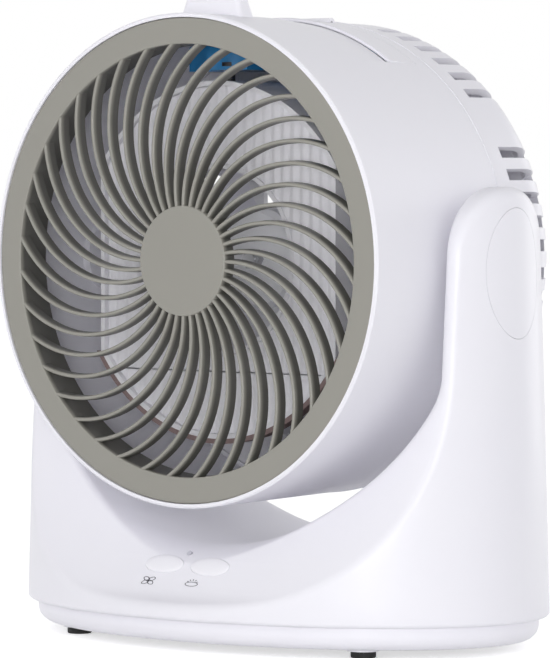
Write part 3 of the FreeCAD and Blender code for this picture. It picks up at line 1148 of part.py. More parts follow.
TIP = "sqrt(fan_radius ^ 2 - (tip_chord / 2 * cos(tip_pitch) + blade_thick) ^ 2)"
blade = impeller.newObject("PartDesign::AdditiveLoft", "blade")
blade.Profile = blade_section("blade_root", "fan_hub - fan_wall / 2", "root_chord", "root_pitch")
blade.Sections = [blade_section("blade_middle", "(fan_hub + fan_radius) / 2", "mid_chord", "mid_pitch"),
                  blade_section("blade_tip", TIP, "tip_chord", "tip_pitch")]
repeated(impeller, "blades", blade, "Y_Axis", "blade_count")
node(impeller, "impeller")
node(drum_disc("motor_shaft_rod", "shaft_radius", "fan_front - nut_height - 1", MOTOR_BACK + " - hub_wall - 1"), "motor_shaft")
nut = bind(doc.addObject("Part::Prism", "nut_blank"), Circumradius="nut_width / 2", Height="nut_height")
nut.Polygon = 6
place(nut, y=from_front("fan_front - nut_height"), z=AXIS, turn=ALONG["y"])
node(cut("impeller_nut_solid", nut, drum_disc("nut_bore", "shaft_radius", "fan_front - 2 * nut_height", "fan_front + 1")),
     "impeller_nut")

# Nothing is written unless every piece is whole
doc.recompute()
failed = [thing.Name for thing in doc.Objects if {"Invalid", "Error"} & set(thing.State)]
broken = [thing.Label for thing in NODES if thing.Shape.isNull() or not thing.Shape.isValid() or not thing.Shape.Solids]
if failed or broken:
    raise RuntimeError("failed objects %s, broken sub-parts %s" % (failed, broken))
os.makedirs("parts", exist_ok=True)
for thing in NODES:
    thing.Shape.exportStep(os.path.join("parts", thing.Label + ".step"))
    print("%-18s solids %d, volume %.0f" % (thing.Label, len(thing.Shape.Solids), thing.Shape.Volume))
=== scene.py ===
"""Evaporative air cooler, dressed: white moulded shells, a grey spiral grille, a pleated wick, a blue tank.

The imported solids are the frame. Every piece is in metres in their axes, with the front along -Y.
"""
import math

import bmesh
import bpy
from mathutils import Matrix, Vector
from mathutils.bvhtree import BVHTree


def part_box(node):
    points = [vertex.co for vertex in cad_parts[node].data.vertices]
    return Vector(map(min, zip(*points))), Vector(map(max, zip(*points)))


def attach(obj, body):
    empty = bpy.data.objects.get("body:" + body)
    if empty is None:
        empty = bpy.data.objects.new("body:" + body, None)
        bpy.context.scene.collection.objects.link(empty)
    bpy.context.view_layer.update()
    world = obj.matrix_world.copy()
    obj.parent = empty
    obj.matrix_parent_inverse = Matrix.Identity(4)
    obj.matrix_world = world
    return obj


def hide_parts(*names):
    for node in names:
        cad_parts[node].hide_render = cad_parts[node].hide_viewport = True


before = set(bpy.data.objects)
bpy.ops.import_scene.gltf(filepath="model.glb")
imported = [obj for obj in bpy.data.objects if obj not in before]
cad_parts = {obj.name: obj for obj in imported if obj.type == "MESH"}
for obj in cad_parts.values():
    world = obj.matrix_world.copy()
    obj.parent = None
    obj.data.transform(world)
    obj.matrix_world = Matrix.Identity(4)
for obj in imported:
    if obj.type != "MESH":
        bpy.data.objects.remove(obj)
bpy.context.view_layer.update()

# Base plate: the shallow oval tray that closes the base from below.
# It is injection moulded in the same white ABS as the shell, with a fine satin grain from the tool,
# and four screws hold it up against the shell's hem.
GRAIN_STRENGTH = 0.5
GRAIN_DETAIL = 3
CLOUD_DETAIL = 4
JOIN_DISTANCE = 1e-6
MOULDING_CREASE = 32.0


def srgb(red, green, blue):
    """A colour as read off a picture, 0 to 255, in the linear values that shaders take."""
    shares = [value / 255 for value in (red, green, blue)]
    return tuple(v / 12.92 if v <= 0.04045 else ((v + 0.055) / 1.055) ** 2.4 for v in shares) + (1.0,)


def moulding_marks_group():
    """Node group: the fine grain of a moulding tool and the faint clouds where the plastic flowed."""
    group = bpy.data.node_groups.new("moulding_marks", "ShaderNodeTree")
    group.interface.new_socket("Vector", in_out="INPUT", socket_type="NodeSocketVector")
    group.interface.new_socket("Grain Scale", in_out="INPUT", socket_type="NodeSocketFloat")
    group.interface.new_socket("Cloud Scale", in_out="INPUT", socket_type="NodeSocketFloat")
    group.interface.new_socket("Grain", in_out="OUTPUT", socket_type="NodeSocketFloat")
    group.interface.new_socket("Cloud", in_out="OUTPUT", socket_type="NodeSocketFloat")
    entry = group.nodes.new("NodeGroupInput")
    leave = group.nodes.new("NodeGroupOutput")
    kinds = (("Grain", "Grain Scale", GRAIN_DETAIL), ("Cloud", "Cloud Scale", CLOUD_DETAIL))
    for output, scale, detail in kinds:
        noise = group.nodes.new("ShaderNodeTexNoise")
        noise.inputs["Detail"].default_value = detail
        group.links.new(entry.outputs["Vector"], noise.inputs["Vector"])
        group.links.new(entry.outputs[scale], noise.inputs["Scale"])
        group.links.new(noise.outputs["Fac"], leave.inputs[output])
    return group


moulding_marks = moulding_marks_group()


def moulded(name, colour, shade, rough, grain=2200.0, relief=0.00003, clouds=14.0):
    """A moulded finish: two near tones in faint clouds, a roughness that follows them, the tool's grain."""
    material = bpy.data.materials.new(name)
    material.use_nodes = True
    nodes = material.node_tree.nodes
    links = material.node_tree.links
    shader = nodes["Principled BSDF"]
    spot = nodes.new("ShaderNodeTexCoord")
    marks = nodes.new("ShaderNodeGroup")
    marks.node_tree = moulding_marks
    marks.inputs["Grain Scale"].default_value = grain
    marks.inputs["Cloud Scale"].default_value = clouds
    links.new(spot.outputs["Object"], marks.inputs["Vector"])
    tone = nodes.new("ShaderNodeMix")
    tone.data_type = "RGBA"
    tone.inputs[6].default_value = shade
    tone.inputs[7].default_value = colour
    links.new(marks.outputs["Cloud"], tone.inputs[0])
    links.new(tone.outputs[2], shader.inputs["Base Color"])
    gloss = nodes.new("ShaderNodeMapRange")
    gloss.inputs["To Min"].default_value = rough[0]
    gloss.inputs["To Max"].default_value = rough[1]
    links.new(marks.outputs["Cloud"], gloss.inputs["Value"])
    links.new(gloss.outputs["Result"], shader.inputs["Roughness"])
    bump = nodes.new("ShaderNodeBump")
    bump.inputs["Strength"].default_value = GRAIN_STRENGTH
    bump.inputs["Distance"].default_value = relief
    links.new(marks.outputs["Grain"], bump.inputs["Height"])
    links.new(bump.outputs["Normal"], shader.inputs["Normal"])
    return material


def principled(material):
    """The shader of a finish, for the values that are the same all over."""
    return material.node_tree.nodes["Principled BSDF"]


def shaded_round(bm, crease):
    """Smooth shading up to a crease angle in degrees."""
    for face in bm.faces:
        face.smooth = True
    for edge in bm.edges:
        edge.smooth = len(edge.link_faces) == 2 and edge.calc_face_angle(0.0) < math.radians(crease)


def as_piece(bm, name, body, finish, *nodes):
    """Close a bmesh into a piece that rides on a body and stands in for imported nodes."""
    mesh = bpy.data.meshes.new(name)
    bm.to_mesh(mesh)
    bm.free()
    mesh.materials.append(finish)
    piece = bpy.data.objects.new(name, mesh)
    bpy.context.collection.objects.link(piece)
    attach(piece, body)
    if nodes:
        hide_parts(*nodes)
    return piece


def merged(node):
    """A bmesh of a node's own form with its loose triangles joined."""
    bm = bmesh.new()
    bm.from_mesh(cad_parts[node].data)
    bmesh.ops.remove_doubles(bm, verts=bm.verts, dist=JOIN_DISTANCE)
    return bm


def cast_of(node, body, finish, crease=MOULDING_CREASE):
    """A piece with a node's own form whose round faces shade round."""
    bm = merged(node)
    shaded_round(bm, crease)
    return as_piece(bm, node + "_moulding", body, finish, node)


shell_white = moulded("shell_white", srgb(246, 245, 250), srgb(242, 241, 248), (0.34, 0.42))
principled(shell_white).inputs["Coat Weight"].default_value = 0.06
cast_of("base_plate", "base", shell_white)

# Rubber feet: four short black pads, moulded in soft rubber.
# Each is pushed up into a cup of the base plate and glued there, so that the cooler doesn't creep.
foot_rubber = moulded("foot_rubber", srgb(34, 34, 35), srgb(22, 22, 23), (0.65, 0.85), 900.0, 0.0001)
cast_of("rubber_feet", "base", foot_rubber)

# Screws from below: four zinc-plated self-tapping screws with flat round heads and a cross recess.
# They go up through the base plate into the studs of the shell.
HEAD_RADIUS = 0.0032
RECESS_REACH = 0.0019
RECESS_WIDTH = 0.0008
RECESS_DEPTH = 0.0011
CARVE_JOIN = 2e-6
screw_steel = moulded("screw_steel", srgb(168, 168, 171), srgb(140, 140, 144), (0.28, 0.4), 1500.0, 0.00002)
principled(screw_steel).inputs["Metallic"].default_value = 1.0


def carved(piece, tool_bm, operation):
    """Cut a piece's mesh with a closed tool shape, or keep only what lies inside it, and join the result."""
    tool_mesh = bpy.data.meshes.new("tool")
    tool_bm.to_mesh(tool_mesh)
    tool_bm.free()
    tool = bpy.data.objects.new("tool", tool_mesh)
    bpy.context.collection.objects.link(tool)
    step = piece.modifiers.new("carve", "BOOLEAN")
    step.operation = operation
    step.solver = "EXACT"
    step.object = tool
    bpy.context.view_layer.update()
    result = bpy.data.meshes.new_from_object(piece.evaluated_get(bpy.context.evaluated_depsgraph_get()))
    piece.modifiers.remove(step)
    bpy.data.objects.remove(tool)
    bm = bmesh.new()
    bm.from_mesh(result)
    bmesh.ops.remove_doubles(bm, verts=bm.verts, dist=CARVE_JOIN)
    bmesh.ops.dissolve_degenerate(bm, edges=bm.edges, dist=JOIN_DISTANCE)
    bm.to_mesh(piece.data)
    bm.free()
    bpy.data.meshes.remove(result)


def recessed_screws(node, body, along):
    """The four screws of a node, at the corners of its box, with a cross recess in the heads' outer faces."""
    piece = cast_of(node, body, screw_steel)
    low, high = (Vector(corner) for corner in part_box(node))
    axis = 1 if along == "y" else 2
    side = 2 if along == "y" else 1
    head_face = high[1] if along == "y" else low[2]
    half = RECESS_WIDTH / 2
    wing = ((RECESS_REACH, -half), (RECESS_REACH, half), (half, half))
    outline = []
    for quarter in range(4):
        turn = Matrix.Rotation(quarter * math.pi / 2, 2)
        outline += [turn @ Vector(spot) for spot in wing]
    lift = Vector((0, 0, 0))
    lift[axis] = 2 * RECESS_DEPTH
    tool = bmesh.new()
    for first in (low[0] + HEAD_RADIUS, high[0] - HEAD_RADIUS):
        for second in (low[side] + HEAD_RADIUS, high[side] - HEAD_RADIUS):
            rim = []
            for corner in outline:
                spot = Vector((first + corner[0], 0, 0))
                spot[side] = second + corner[1]
                spot[axis] = head_face - RECESS_DEPTH
                rim.append(tool.verts.new(spot))
            grown = bmesh.ops.extrude_face_region(tool, geom=[tool.faces.new(rim)])["geom"]
            moved = [item for item in grown if isinstance(item, bmesh.types.BMVert)]
            bmesh.ops.translate(tool, vec=lift, verts=moved)
    bmesh.ops.recalc_face_normals(tool, faces=tool.faces)
    carved(piece, tool, "DIFFERENCE")
    return piece


recessed_screws("base_screws", "base", "z")

# Base shell: one large moulding in white ABS, an oval foot whose front sweeps up into two arms.
# The valley between the arms rolls over at its front into the fascia with the keys.
# Flat oval covers snap into the outer faces of the arms and hide the pivots.
cast_of("base_shell", "base", shell_white)
cast_of("left_arm_cap", "base", shell_white)
cast_of("right_arm_cap", "base", shell_white)

# Pivots: turned steel pins, pressed through the arms into the drum's bosses.
# A washer of slippery grey plastic on each holds the drum at the tilt that it is set to.
pin_steel = moulded("pin_steel", srgb(182, 182, 185), srgb(164, 164, 168), (0.22, 0.34), 1500.0, 0.00001)
principled(pin_steel).inputs["Metallic"].default_value = 1.0
cast_of("left_pivot_pin", "base", pin_steel)
cast_of("right_pivot_pin", "base", pin_steel)
washer_plastic = moulded("washer_plastic", srgb(188, 187, 192), srgb(176, 175, 181), (0.4, 0.5))
cast_of("friction_washers", "base", washer_plastic)

# Control board: a green printed board on four posts under the fascia, with two small black switches,
# and a clear rod that takes the light of an indicator up to the surface.
board_green = moulded("board_green", srgb(40, 96, 62), srgb(32, 80, 50), (0.3, 0.4), 1200.0, 0.00004)
dark_plastic = moulded("dark_plastic", srgb(40, 40, 42), srgb(28, 28, 30), (0.4, 0.55))
lamp_clear = moulded("lamp_clear", srgb(206, 205, 214), srgb(192, 191, 202), (0.12, 0.2))
cast_of("control_board", "base", board_green)
cast_of("tact_switches", "base", dark_plastic)
cast_of("indicator_lens", "base", lamp_clear)

# Power inlet: a black low-voltage socket with a steel pin, pushed into its collar at the back of the base.
# No lead is fixed to it: the plug of a separate adapter goes in here.
cast_of("power_inlet", "base", dark_plastic)

# Keys: two oval caps of white plastic with a soft dome, each with a skirt that keeps it in the fascia
# and a stem that presses a switch. They stand a little way out of the fascia with a hairline gap round them.
KEY_LEAN = math.radians(38.5)
KEY_RISE = 0.0013
KEY_HALF_LENGTH = 0.0112
KEY_HALF_WIDTH = 0.0049
KEY_STEM = 0.002
KEY_SKIRT = 1.1
KEY_SKIRT_TOP = -0.0048
KEY_BOTTOM = -0.0062
KEY_CREASE = 40
KEY_STEPS = 56
STEM_SEGMENTS = 24
DOME_STEPS = 8
DOME_FULLNESS = 0.8
out = Vector((0, -math.cos(KEY_LEAN), math.sin(KEY_LEAN)))
up_slope = Vector((0, math.sin(KEY_LEAN), math.cos(KEY_LEAN)))
across = Vector((1, 0, 0))
key_white = moulded("key_white", srgb(248, 247, 251), srgb(244, 243, 249), (0.3, 0.38))


def key_middle(node):
    """Where a key's axis meets the plane of the fascia, from the reach of its packed form."""
    spots = [vertex.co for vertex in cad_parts[node].data.vertices]
    reach = [[spot.dot(way) for spot in spots] for way in (across, up_slope, out)]
    sideways = (max(reach[0]) + min(reach[0])) / 2
    upwards = (max(reach[1]) + min(reach[1])) / 2
    return across * sideways + up_slope * upwards + out * (max(reach[2]) - KEY_RISE)


def domed_key(node, name, body):
    """Half a section spun into a round cap, drawn out to an oval and laid on the slope, with its stem."""
    bm = bmesh.new()
    leans = [step / DOME_STEPS * math.pi / 2 for step in range(DOME_STEPS)]
    dome = [(math.sin(lean), KEY_RISE * math.cos(lean) ** DOME_FULLNESS) for lean in leans]
    skirt = [(KEY_SKIRT, KEY_SKIRT_TOP), (KEY_SKIRT, KEY_BOTTOM), (0.0, KEY_BOTTOM)]
    section = dome + [(1.0, 0.0), (1.0, KEY_SKIRT_TOP)] + skirt
    spots = [bm.verts.new((radius, 0, height)) for radius, height in section]
    edges = [bm.edges.new(pair) for pair in zip(spots, spots[1:])]
    bmesh.ops.spin(bm, geom=spots + edges, cent=(0, 0, 0), axis=(0, 0, 1), angle=math.tau, steps=KEY_STEPS,
                   use_merge=True)
    bmesh.ops.remove_doubles(bm, verts=bm.verts, dist=JOIN_DISTANCE)
    bmesh.ops.scale(bm, vec=(KEY_HALF_LENGTH, KEY_HALF_WIDTH, 1), verts=bm.verts)
    middle = key_middle(node)
    low = min(vertex.co.dot(out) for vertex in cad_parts[node].data.vertices) - middle.dot(out)
    stem = bmesh.ops.create_cone(bm, cap_ends=True, segments=STEM_SEGMENTS, radius1=KEY_STEM,
                                 radius2=KEY_STEM, depth=KEY_BOTTOM - low)["verts"]
    bmesh.ops.translate(bm, vec=(0, 0, (KEY_BOTTOM + low) / 2), verts=stem)
    bmesh.ops.recalc_face_normals(bm, faces=bm.faces)
    turn = Matrix((across, up_slope, out)).transposed().to_4x4()
    bmesh.ops.transform(bm, matrix=Matrix.Translation(middle) @ turn, verts=bm.verts)
    shaded_round(bm, KEY_CREASE)
    return as_piece(bm, name, body, key_white, node)


domed_key("fan_button", "fan_key_cap", "left_key")
domed_key("mist_button", "mist_key_cap", "right_key")

# Symbols: a fan with four petals and a bowl with a rising spray, pad-printed in dark grey ink
# on the fascia, below and to the left of the key that each belongs to.
INK_LIFT = 0.00005
INK_LINE = 0.00048
OVAL_SEGMENTS = 28
FAN_SIGN_LEFT = 0.0045
FAN_SIGN_DOWN = 0.0098
MIST_SIGN_LEFT = 0.0057
MIST_SIGN_DOWN = 0.0096
PETALS = 4
PETAL_LENGTH = 0.0022
PETAL_WIDTH = 0.0014
PETAL_REACH = 0.0021
BOWL_LENGTH = 0.0036
BOWL_WIDTH = 0.0019
BOWL_DROP = 0.0008
SPRAYS = 5
SPRAY_SPREAD = 32
SPRAY_REACH = 0.003
SPRAY_LINE = 0.0012
SYMBOL_SQUASH = 0.62
PRINT_HEIGHT = 0.02
fascia = BVHTree.FromBMesh(merged("base_shell"))
symbol_ink = moulded("symbol_ink", srgb(58, 57, 68), srgb(48, 47, 58), (0.5, 0.6))


def oval_line(bm, length, width, middle, turn, line):
    """A flat oval ring: two circles drawn out to ovals and bridged."""
    loops = []
    for grow in (line / 2, -line / 2):
        ring = bmesh.ops.create_circle(bm, segments=OVAL_SEGMENTS, radius=1.0)["verts"]
        bmesh.ops.scale(bm, vec=(length + grow, width + grow, 1), verts=ring)
        loops += ring
    edges = list({edge for vertex in loops for edge in vertex.link_edges})
    bmesh.ops.bridge_loops(bm, edges=edges)
    bmesh.ops.rotate(bm, cent=(0, 0, 0), matrix=Matrix.Rotation(turn, 3, "Z"), verts=loops)
    bmesh.ops.translate(bm, vec=middle, verts=loops)


def printed(bm, name, middle):
    """Lay a flat drawing on the fascia below a spot on the keys' plane, a film of ink above it."""
    for vertex in bm.verts:
        start = middle + across * vertex.co.x + up_slope * vertex.co.y * SYMBOL_SQUASH + out * PRINT_HEIGHT
        spot, normal = fascia.ray_cast(start, -out)[:2]
        vertex.co = spot + normal * INK_LIFT
    bmesh.ops.recalc_face_normals(bm, faces=bm.faces)
    if sum(face.normal.dot(out) for face in bm.faces) < 0:
        bmesh.ops.reverse_faces(bm, faces=bm.faces)
    return as_piece(bm, name, "base", symbol_ink)


fan_spot = key_middle("fan_button") - across * FAN_SIGN_LEFT - up_slope * FAN_SIGN_DOWN
mist_spot = key_middle("mist_button") - across * MIST_SIGN_LEFT - up_slope * MIST_SIGN_DOWN
fan_lines = bmesh.new()
for petal in range(PETALS):
    turn = math.tau * (petal + 0.5) / PETALS
    toward = Vector((math.cos(turn), math.sin(turn), 0)) * PETAL_REACH
    oval_line(fan_lines, PETAL_LENGTH, PETAL_WIDTH, toward, turn, INK_LINE)
printed(fan_lines, "fan_symbol", fan_spot)
mist_lines = bmesh.new()
oval_line(mist_lines, BOWL_LENGTH, BOWL_WIDTH, Vector((0, -BOWL_DROP, 0)), 0.0, INK_LINE)
for spray in range(SPRAYS):
    lean = math.radians(SPRAY_SPREAD * (spray - (SPRAYS - 1) / 2))
    dash = bmesh.ops.create_grid(mist_lines, x_segments=1, y_segments=2, size=0.5)["verts"]
    bmesh.ops.scale(mist_lines, vec=(INK_LINE, SPRAY_LINE, 1), verts=dash)
    bmesh.ops.translate(mist_lines, vec=(0, SPRAY_REACH, 0), verts=dash)
    bmesh.ops.rotate(mist_lines, cent=(0, 0, 0), matrix=Matrix.Rotation(-lean, 3, "Z"), verts=dash)
printed(mist_lines, "mist_symbol", mist_spot)

# Drum: the white tube that tilts between the arms, moulded with its pivot bosses, the ledge for the grille
# and the hatch over the tank. A fine raised bead marks the parting line where the rear cover plugs in.
BEAD_RADIUS = 0.0003
BEAD_CIRCLE = 0.1113
BEAD_SEGMENTS = 10
BEAD_STEPS = 160
BEAD_CREASE = 60
cast_of("drum_shell", "head", shell_white)
drum_high = Vector(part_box("drum_shell")[1])
drum_axis = (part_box("front_grille")[0][2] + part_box("front_grille")[1][2]) / 2
bead_bm = bmesh.new()
bead_ring = bmesh.ops.create_circle(bead_bm, segments=BEAD_SEGMENTS, radius=BEAD_RADIUS)["verts"]
bmesh.ops.rotate(bead_bm, cent=(0, 0, 0), matrix=Matrix.Rotation(math.pi / 2, 3, "Y"), verts=bead_ring)
bmesh.ops.translate(bead_bm, vec=(0, drum_high.y - BEAD_RADIUS, drum_axis + BEAD_CIRCLE), verts=bead_ring)
bmesh.ops.spin(bead_bm, geom=bead_bm.verts[:] + bead_bm.edges[:], cent=(0, 0, drum_axis), axis=(0, 1, 0),
               angle=math.tau, steps=BEAD_STEPS, use_merge=True)
bmesh.ops.remove_doubles(bead_bm, verts=bead_bm.verts, dist=JOIN_DISTANCE)
bmesh.ops.recalc_face_normals(bead_bm, faces=bead_bm.faces)
shaded_round(bead_bm, BEAD_CREASE)
as_piece(bead_bm, "parting_bead", "head", shell_white)

# Lid and finger tab: white mouldings on top of the drum. The lid turns up on a steel pin for filling,
# with a thin lip over a scoop for the fingertip; the tab is for tilting the drum.
cast_of("tank_lid", "lid", shell_white)
cast_of("lid_hinge_pin", "head", pin_steel)
cast_of("tilt_grip", "head", shell_white)

# Inner duct: a pale tube with flat sides that leads the air from the impeller through the wick.
# It is moulded in natural white plastic, and the rear cover's long screws hold its flange.
# A frame carries the wick in its front, and a strip of brown foam runs round the lower half.
duct_white = moulded("duct_white", srgb(247, 246, 250), srgb(243, 242, 247), (0.38, 0.48))
cast_of("inner_duct", "head", duct_white)
cast_of("pad_frame", "head", duct_white)
foam_brown = moulded("foam_brown", srgb(152, 131, 130), srgb(138, 118, 117), (0.85, 0.95),
                     900.0, 0.0003, 220.0)
cast_of("duct_seal", "head", foam_brown)

# Wick: a mat of stiff pale fibre, folded into upright pleats round a central opening and held in the frame.
# It is made as two panels with a narrow seam between them. The folds are pressed in, so they are modelled
# as they stand: a waved block, drawn up the height of the mat and trimmed to its outline.
PLEAT_PITCH = 0.0055
PLEAT_DEPTH = 0.0009
PLEAT_STEPS = 6
SEAM_DROP = 0.0515
SEAM_GAP = 0.0006
TRIM_OVERRUN = 0.01
WAVE_CLEARANCE = 1e-5
WICK_CREASE = 38
wick_fibre = moulded("wick_fibre", srgb(247, 246, 250), srgb(241, 240, 246), (0.8, 0.95),
                     1600.0, 0.00012, 160.0)
wick_low, wick_high = (Vector(corner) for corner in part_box("wick_pad"))
pleats = math.ceil((wick_high.x - wick_low.x) / PLEAT_PITCH) + 1


def pleated_block(bottom, top):
    """The waved front and flat back of a panel, filled and pulled up from its foot to its head."""
    bm = bmesh.new()
    steps = pleats * PLEAT_STEPS
    start = (wick_low.x + wick_high.x - pleats * PLEAT_PITCH) / 2
    front = wick_low.y + WAVE_CLEARANCE
    wave = [(start + step * PLEAT_PITCH / PLEAT_STEPS,
             front + PLEAT_DEPTH * (0.5 - 0.5 * math.cos(math.tau * step / PLEAT_STEPS)))
            for step in range(steps + 1)]
    back = wick_high.y + PLEAT_DEPTH
    outline = wave + [(wave[-1][0], back), (wave[0][0], back)]
    face = bm.faces.new([bm.verts.new((x, y, bottom)) for x, y in outline])
    grown = bmesh.ops.extrude_face_region(bm, geom=[face])["geom"]
    moved = [item for item in grown if isinstance(item, bmesh.types.BMVert)]
    bmesh.ops.translate(bm, vec=(0, 0, top - bottom), verts=moved)
    bmesh.ops.recalc_face_normals(bm, faces=bm.faces)
    return bm


seam = drum_axis - SEAM_DROP
panels = (("upper", seam + SEAM_GAP / 2, wick_high.z + TRIM_OVERRUN),
          ("lower", wick_low.z - TRIM_OVERRUN, seam - SEAM_GAP / 2))
for panel, bottom, top in panels:
    mat = as_piece(merged("wick_pad"), panel + "_wick", "head", wick_fibre, "wick_pad")
    carved(mat, pleated_block(bottom, top), "INTERSECT")
    mat_bm = bmesh.new()
    mat_bm.from_mesh(mat.data)
    shaded_round(mat_bm, WICK_CREASE)
    mat_bm.to_mesh(mat.data)
    mat_bm.free()

# Water tank: a shallow blow-moulded box of clear blue plastic under the lid, with a spout over the wick.
# A small dark nozzle in the spout lets the water drip.
tank_blue = moulded("tank_blue", srgb(70, 165, 228), srgb(44, 140, 212), (0.12, 0.2), 900.0, 0.00002)
principled(tank_blue).inputs["Transmission Weight"].default_value = 0.15
principled(tank_blue).inputs["IOR"].default_value = 1.49
cast_of("water_tank", "head", tank_blue)
cast_of("drip_nozzle", "head", dark_plastic)

# Motor: a small black can, pressed into the ring of a bracket that is screwed to the duct's flange.
# Its steel shaft carries the impeller, which a nut holds on.
motor_black = moulded("motor_black", srgb(58, 58, 61), srgb(46, 46, 49), (0.35, 0.45))
cast_of("motor_housing", "head", motor_black)
cast_of("motor_bracket", "head", duct_white)
recessed_screws("bracket_screws", "head", "y")
cast_of("motor_shaft", "fan", pin_steel)
cast_of("impeller_nut", "fan", pin_steel)

# Impeller: one moulding of white plastic, a cup hub with seven twisted blades.
# It is pushed onto the motor's shaft and kept there by the nut.
fan_white = moulded("fan_white", srgb(246, 246, 249), srgb(240, 240, 245), (0.35, 0.45))
cast_of("impeller", "fan", fan_white)

# Rear cover: a white dish with vent slots over its shoulder and a square lattice for the intake.
# It plugs into the drum, and four long screws go through its posts into the duct's flange.
cast_of("rear_cover", "head", shell_white)
recessed_screws("rear_screws", "head", "y")

# Front grille: one moulding in warm grey, a flat ring with a deep collar, forty curved slats, a plain disc.
# It drops into the drum's rim against the ledge. The slats narrow to rounded front edges.
# Their flanks and the inside of the collar are coloured dark grey behind the front: painted shade.
COLLAR_DEPTH = 0.018
COLLAR_WALL = 0.0022
RING_WIDTH = 0.012
RING_PLATE = 0.0028
RING_EDGE = 0.0007
DISC_RADIUS = 0.0253
DISC_SKIRT = 0.007
DISC_WALL = 0.0024
SLATS = 40
SLAT_CURVE = 0.059
SLAT_THICK = 0.0024
SLAT_DEPTH = 0.006
SLAT_BURY = 0.0012
SLAT_SINK = 0.0003
SLAT_FRONT = 0.0018
# How far back the grey front reaches, and over what depth the painted shade behind it comes in.
SHADE_START = 0.001
SHADE_FADE = 0.002
TURN_STEPS = 144
SLAT_STEPS = 22
NOSE_STEPS = 8
GRILLE_CREASE = 40
grille_grey = moulded("grille_grey", srgb(151, 149, 141), srgb(147, 145, 137), (0.3, 0.4), 1800.0, 0.00002)
grille_low, grille_high = (Vector(corner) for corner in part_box("front_grille"))
ring_radius = (grille_high.x - grille_low.x) / 2
opening = ring_radius - RING_WIDTH
grille_bm = bmesh.new()


def flanks_in_painted_shade(material, face, flank_shade_colour):
    """Keep a finish on the front of a piece and a dark colour behind it: painted shade on what lies back from
    the front.
    """
    nodes = material.node_tree.nodes
    links = material.node_tree.links
    spot = nodes.new("ShaderNodeTexCoord")
    parts = nodes.new("ShaderNodeSeparateXYZ")
    links.new(spot.outputs["Object"], parts.inputs[0])
    depth = nodes.new("ShaderNodeMapRange")
    depth.inputs["From Min"].default_value = face + SHADE_START
    depth.inputs["From Max"].default_value = face + SHADE_START + SHADE_FADE
    links.new(parts.outputs["Y"], depth.inputs["Value"])
    flank_shade_mix = nodes.new("ShaderNodeMix")
    flank_shade_mix.data_type = "RGBA"
    flank_shade_mix.inputs[7].default_value = flank_shade_colour
    links.new(depth.outputs["Result"], flank_shade_mix.inputs[0])
    links.new(principled(material).inputs["Base Color"].links[0].from_socket, flank_shade_mix.inputs[6])
    links.new(flank_shade_mix.outputs[2], principled(material).inputs["Base Color"])


# The dark grey behind the front is painted shade on the slats' flanks and the inside of the collar.
flanks_in_painted_shade(grille_grey, grille_low.y, srgb(94, 93, 88))


def turned(bm, section, closed):
    """Spin a half section of (radius, depth) spots about the drum's axis."""
    spots = [bm.verts.new((0, grille_low.y + depth, drum_axis + radius)) for radius, depth in section]
    pairs = list(zip(spots, spots[1:])) + ([(spots[-1], spots[0])] if closed else [])
    edges = [bm.edges.new(pair) for pair in pairs]
    bmesh.ops.spin(bm, geom=spots + edges, cent=(0, 0, drum_axis), axis=(0, 1, 0), angle=math.tau,
                   steps=TURN_STEPS, use_merge=True)


def rounded_corner(radius, depth, size, first, steps=4):
    """Spots of a quarter round about a middle, from a given angle on, with the outside to the left."""
    return [(radius + size * math.cos(first + math.pi / 2 * step / steps),
             depth + size * math.sin(first + math.pi / 2 * step / steps)) for step in range(steps + 1)]


turned(grille_bm, [
    (opening, COLLAR_DEPTH), *rounded_corner(opening + RING_EDGE, RING_EDGE, RING_EDGE, math.pi),
    *rounded_corner(ring_radius - RING_EDGE, RING_EDGE, RING_EDGE, -math.pi / 2),
    (ring_radius, RING_PLATE), (opening + COLLAR_WALL, RING_PLATE),
    (opening + COLLAR_WALL, COLLAR_DEPTH)], True)
turned(grille_bm, [
    (0.0, 0.0), *rounded_corner(DISC_RADIUS - RING_EDGE, RING_EDGE, RING_EDGE, -math.pi / 2),
    (DISC_RADIUS, DISC_SKIRT), (DISC_RADIUS - DISC_WALL, DISC_SKIRT),
    (DISC_RADIUS - DISC_WALL, DISC_WALL), (0.0, DISC_WALL)], False)


def slat_angle(limit):
    """Angle about a slat's own middle at which its centre line is a given distance from the drum's axis."""
    span = math.hypot(SLAT_CURVE, DISC_RADIUS)
    lean = math.atan2(-DISC_RADIUS, -SLAT_CURVE)
    return lean - math.acos((SLAT_CURVE ** 2 + span ** 2 - limit ** 2) / (2 * SLAT_CURVE * span))


slat_from = slat_angle(DISC_RADIUS - SLAT_BURY)
slat_to = slat_angle(opening + SLAT_BURY)
slat_middle = Vector((SLAT_CURVE, 0, drum_axis + DISC_RADIUS))
slat_section = [(-SLAT_THICK / 2, SLAT_DEPTH)]
slat_section += [(-SLAT_FRONT / 2 * math.cos(math.pi * step / NOSE_STEPS),
                  SLAT_SINK + SLAT_FRONT / 2 * (1 - math.sin(math.pi * step / NOSE_STEPS)))
                 for step in range(NOSE_STEPS + 1)]
slat_section += [(SLAT_THICK / 2, SLAT_DEPTH)]
slat_bm = bmesh.new()
way = Vector((math.cos(slat_from), 0, math.sin(slat_from)))
slat_spots = [
    slat_bm.verts.new(slat_middle + way * (SLAT_CURVE + side) + Vector((0, grille_low.y + depth, 0)))
    for side, depth in slat_section]
slat_edges = [slat_bm.edges.new(pair) for pair in zip(slat_spots, slat_spots[1:] + slat_spots[:1])]
bmesh.ops.spin(slat_bm, geom=slat_spots + slat_edges, cent=slat_middle, axis=(0, 1, 0),
               angle=slat_from - slat_to, steps=SLAT_STEPS)
bmesh.ops.holes_fill(slat_bm, edges=slat_bm.edges, sides=0)
slat_mesh = bpy.data.meshes.new("slat")
slat_bm.to_mesh(slat_mesh)
slat_bm.free()
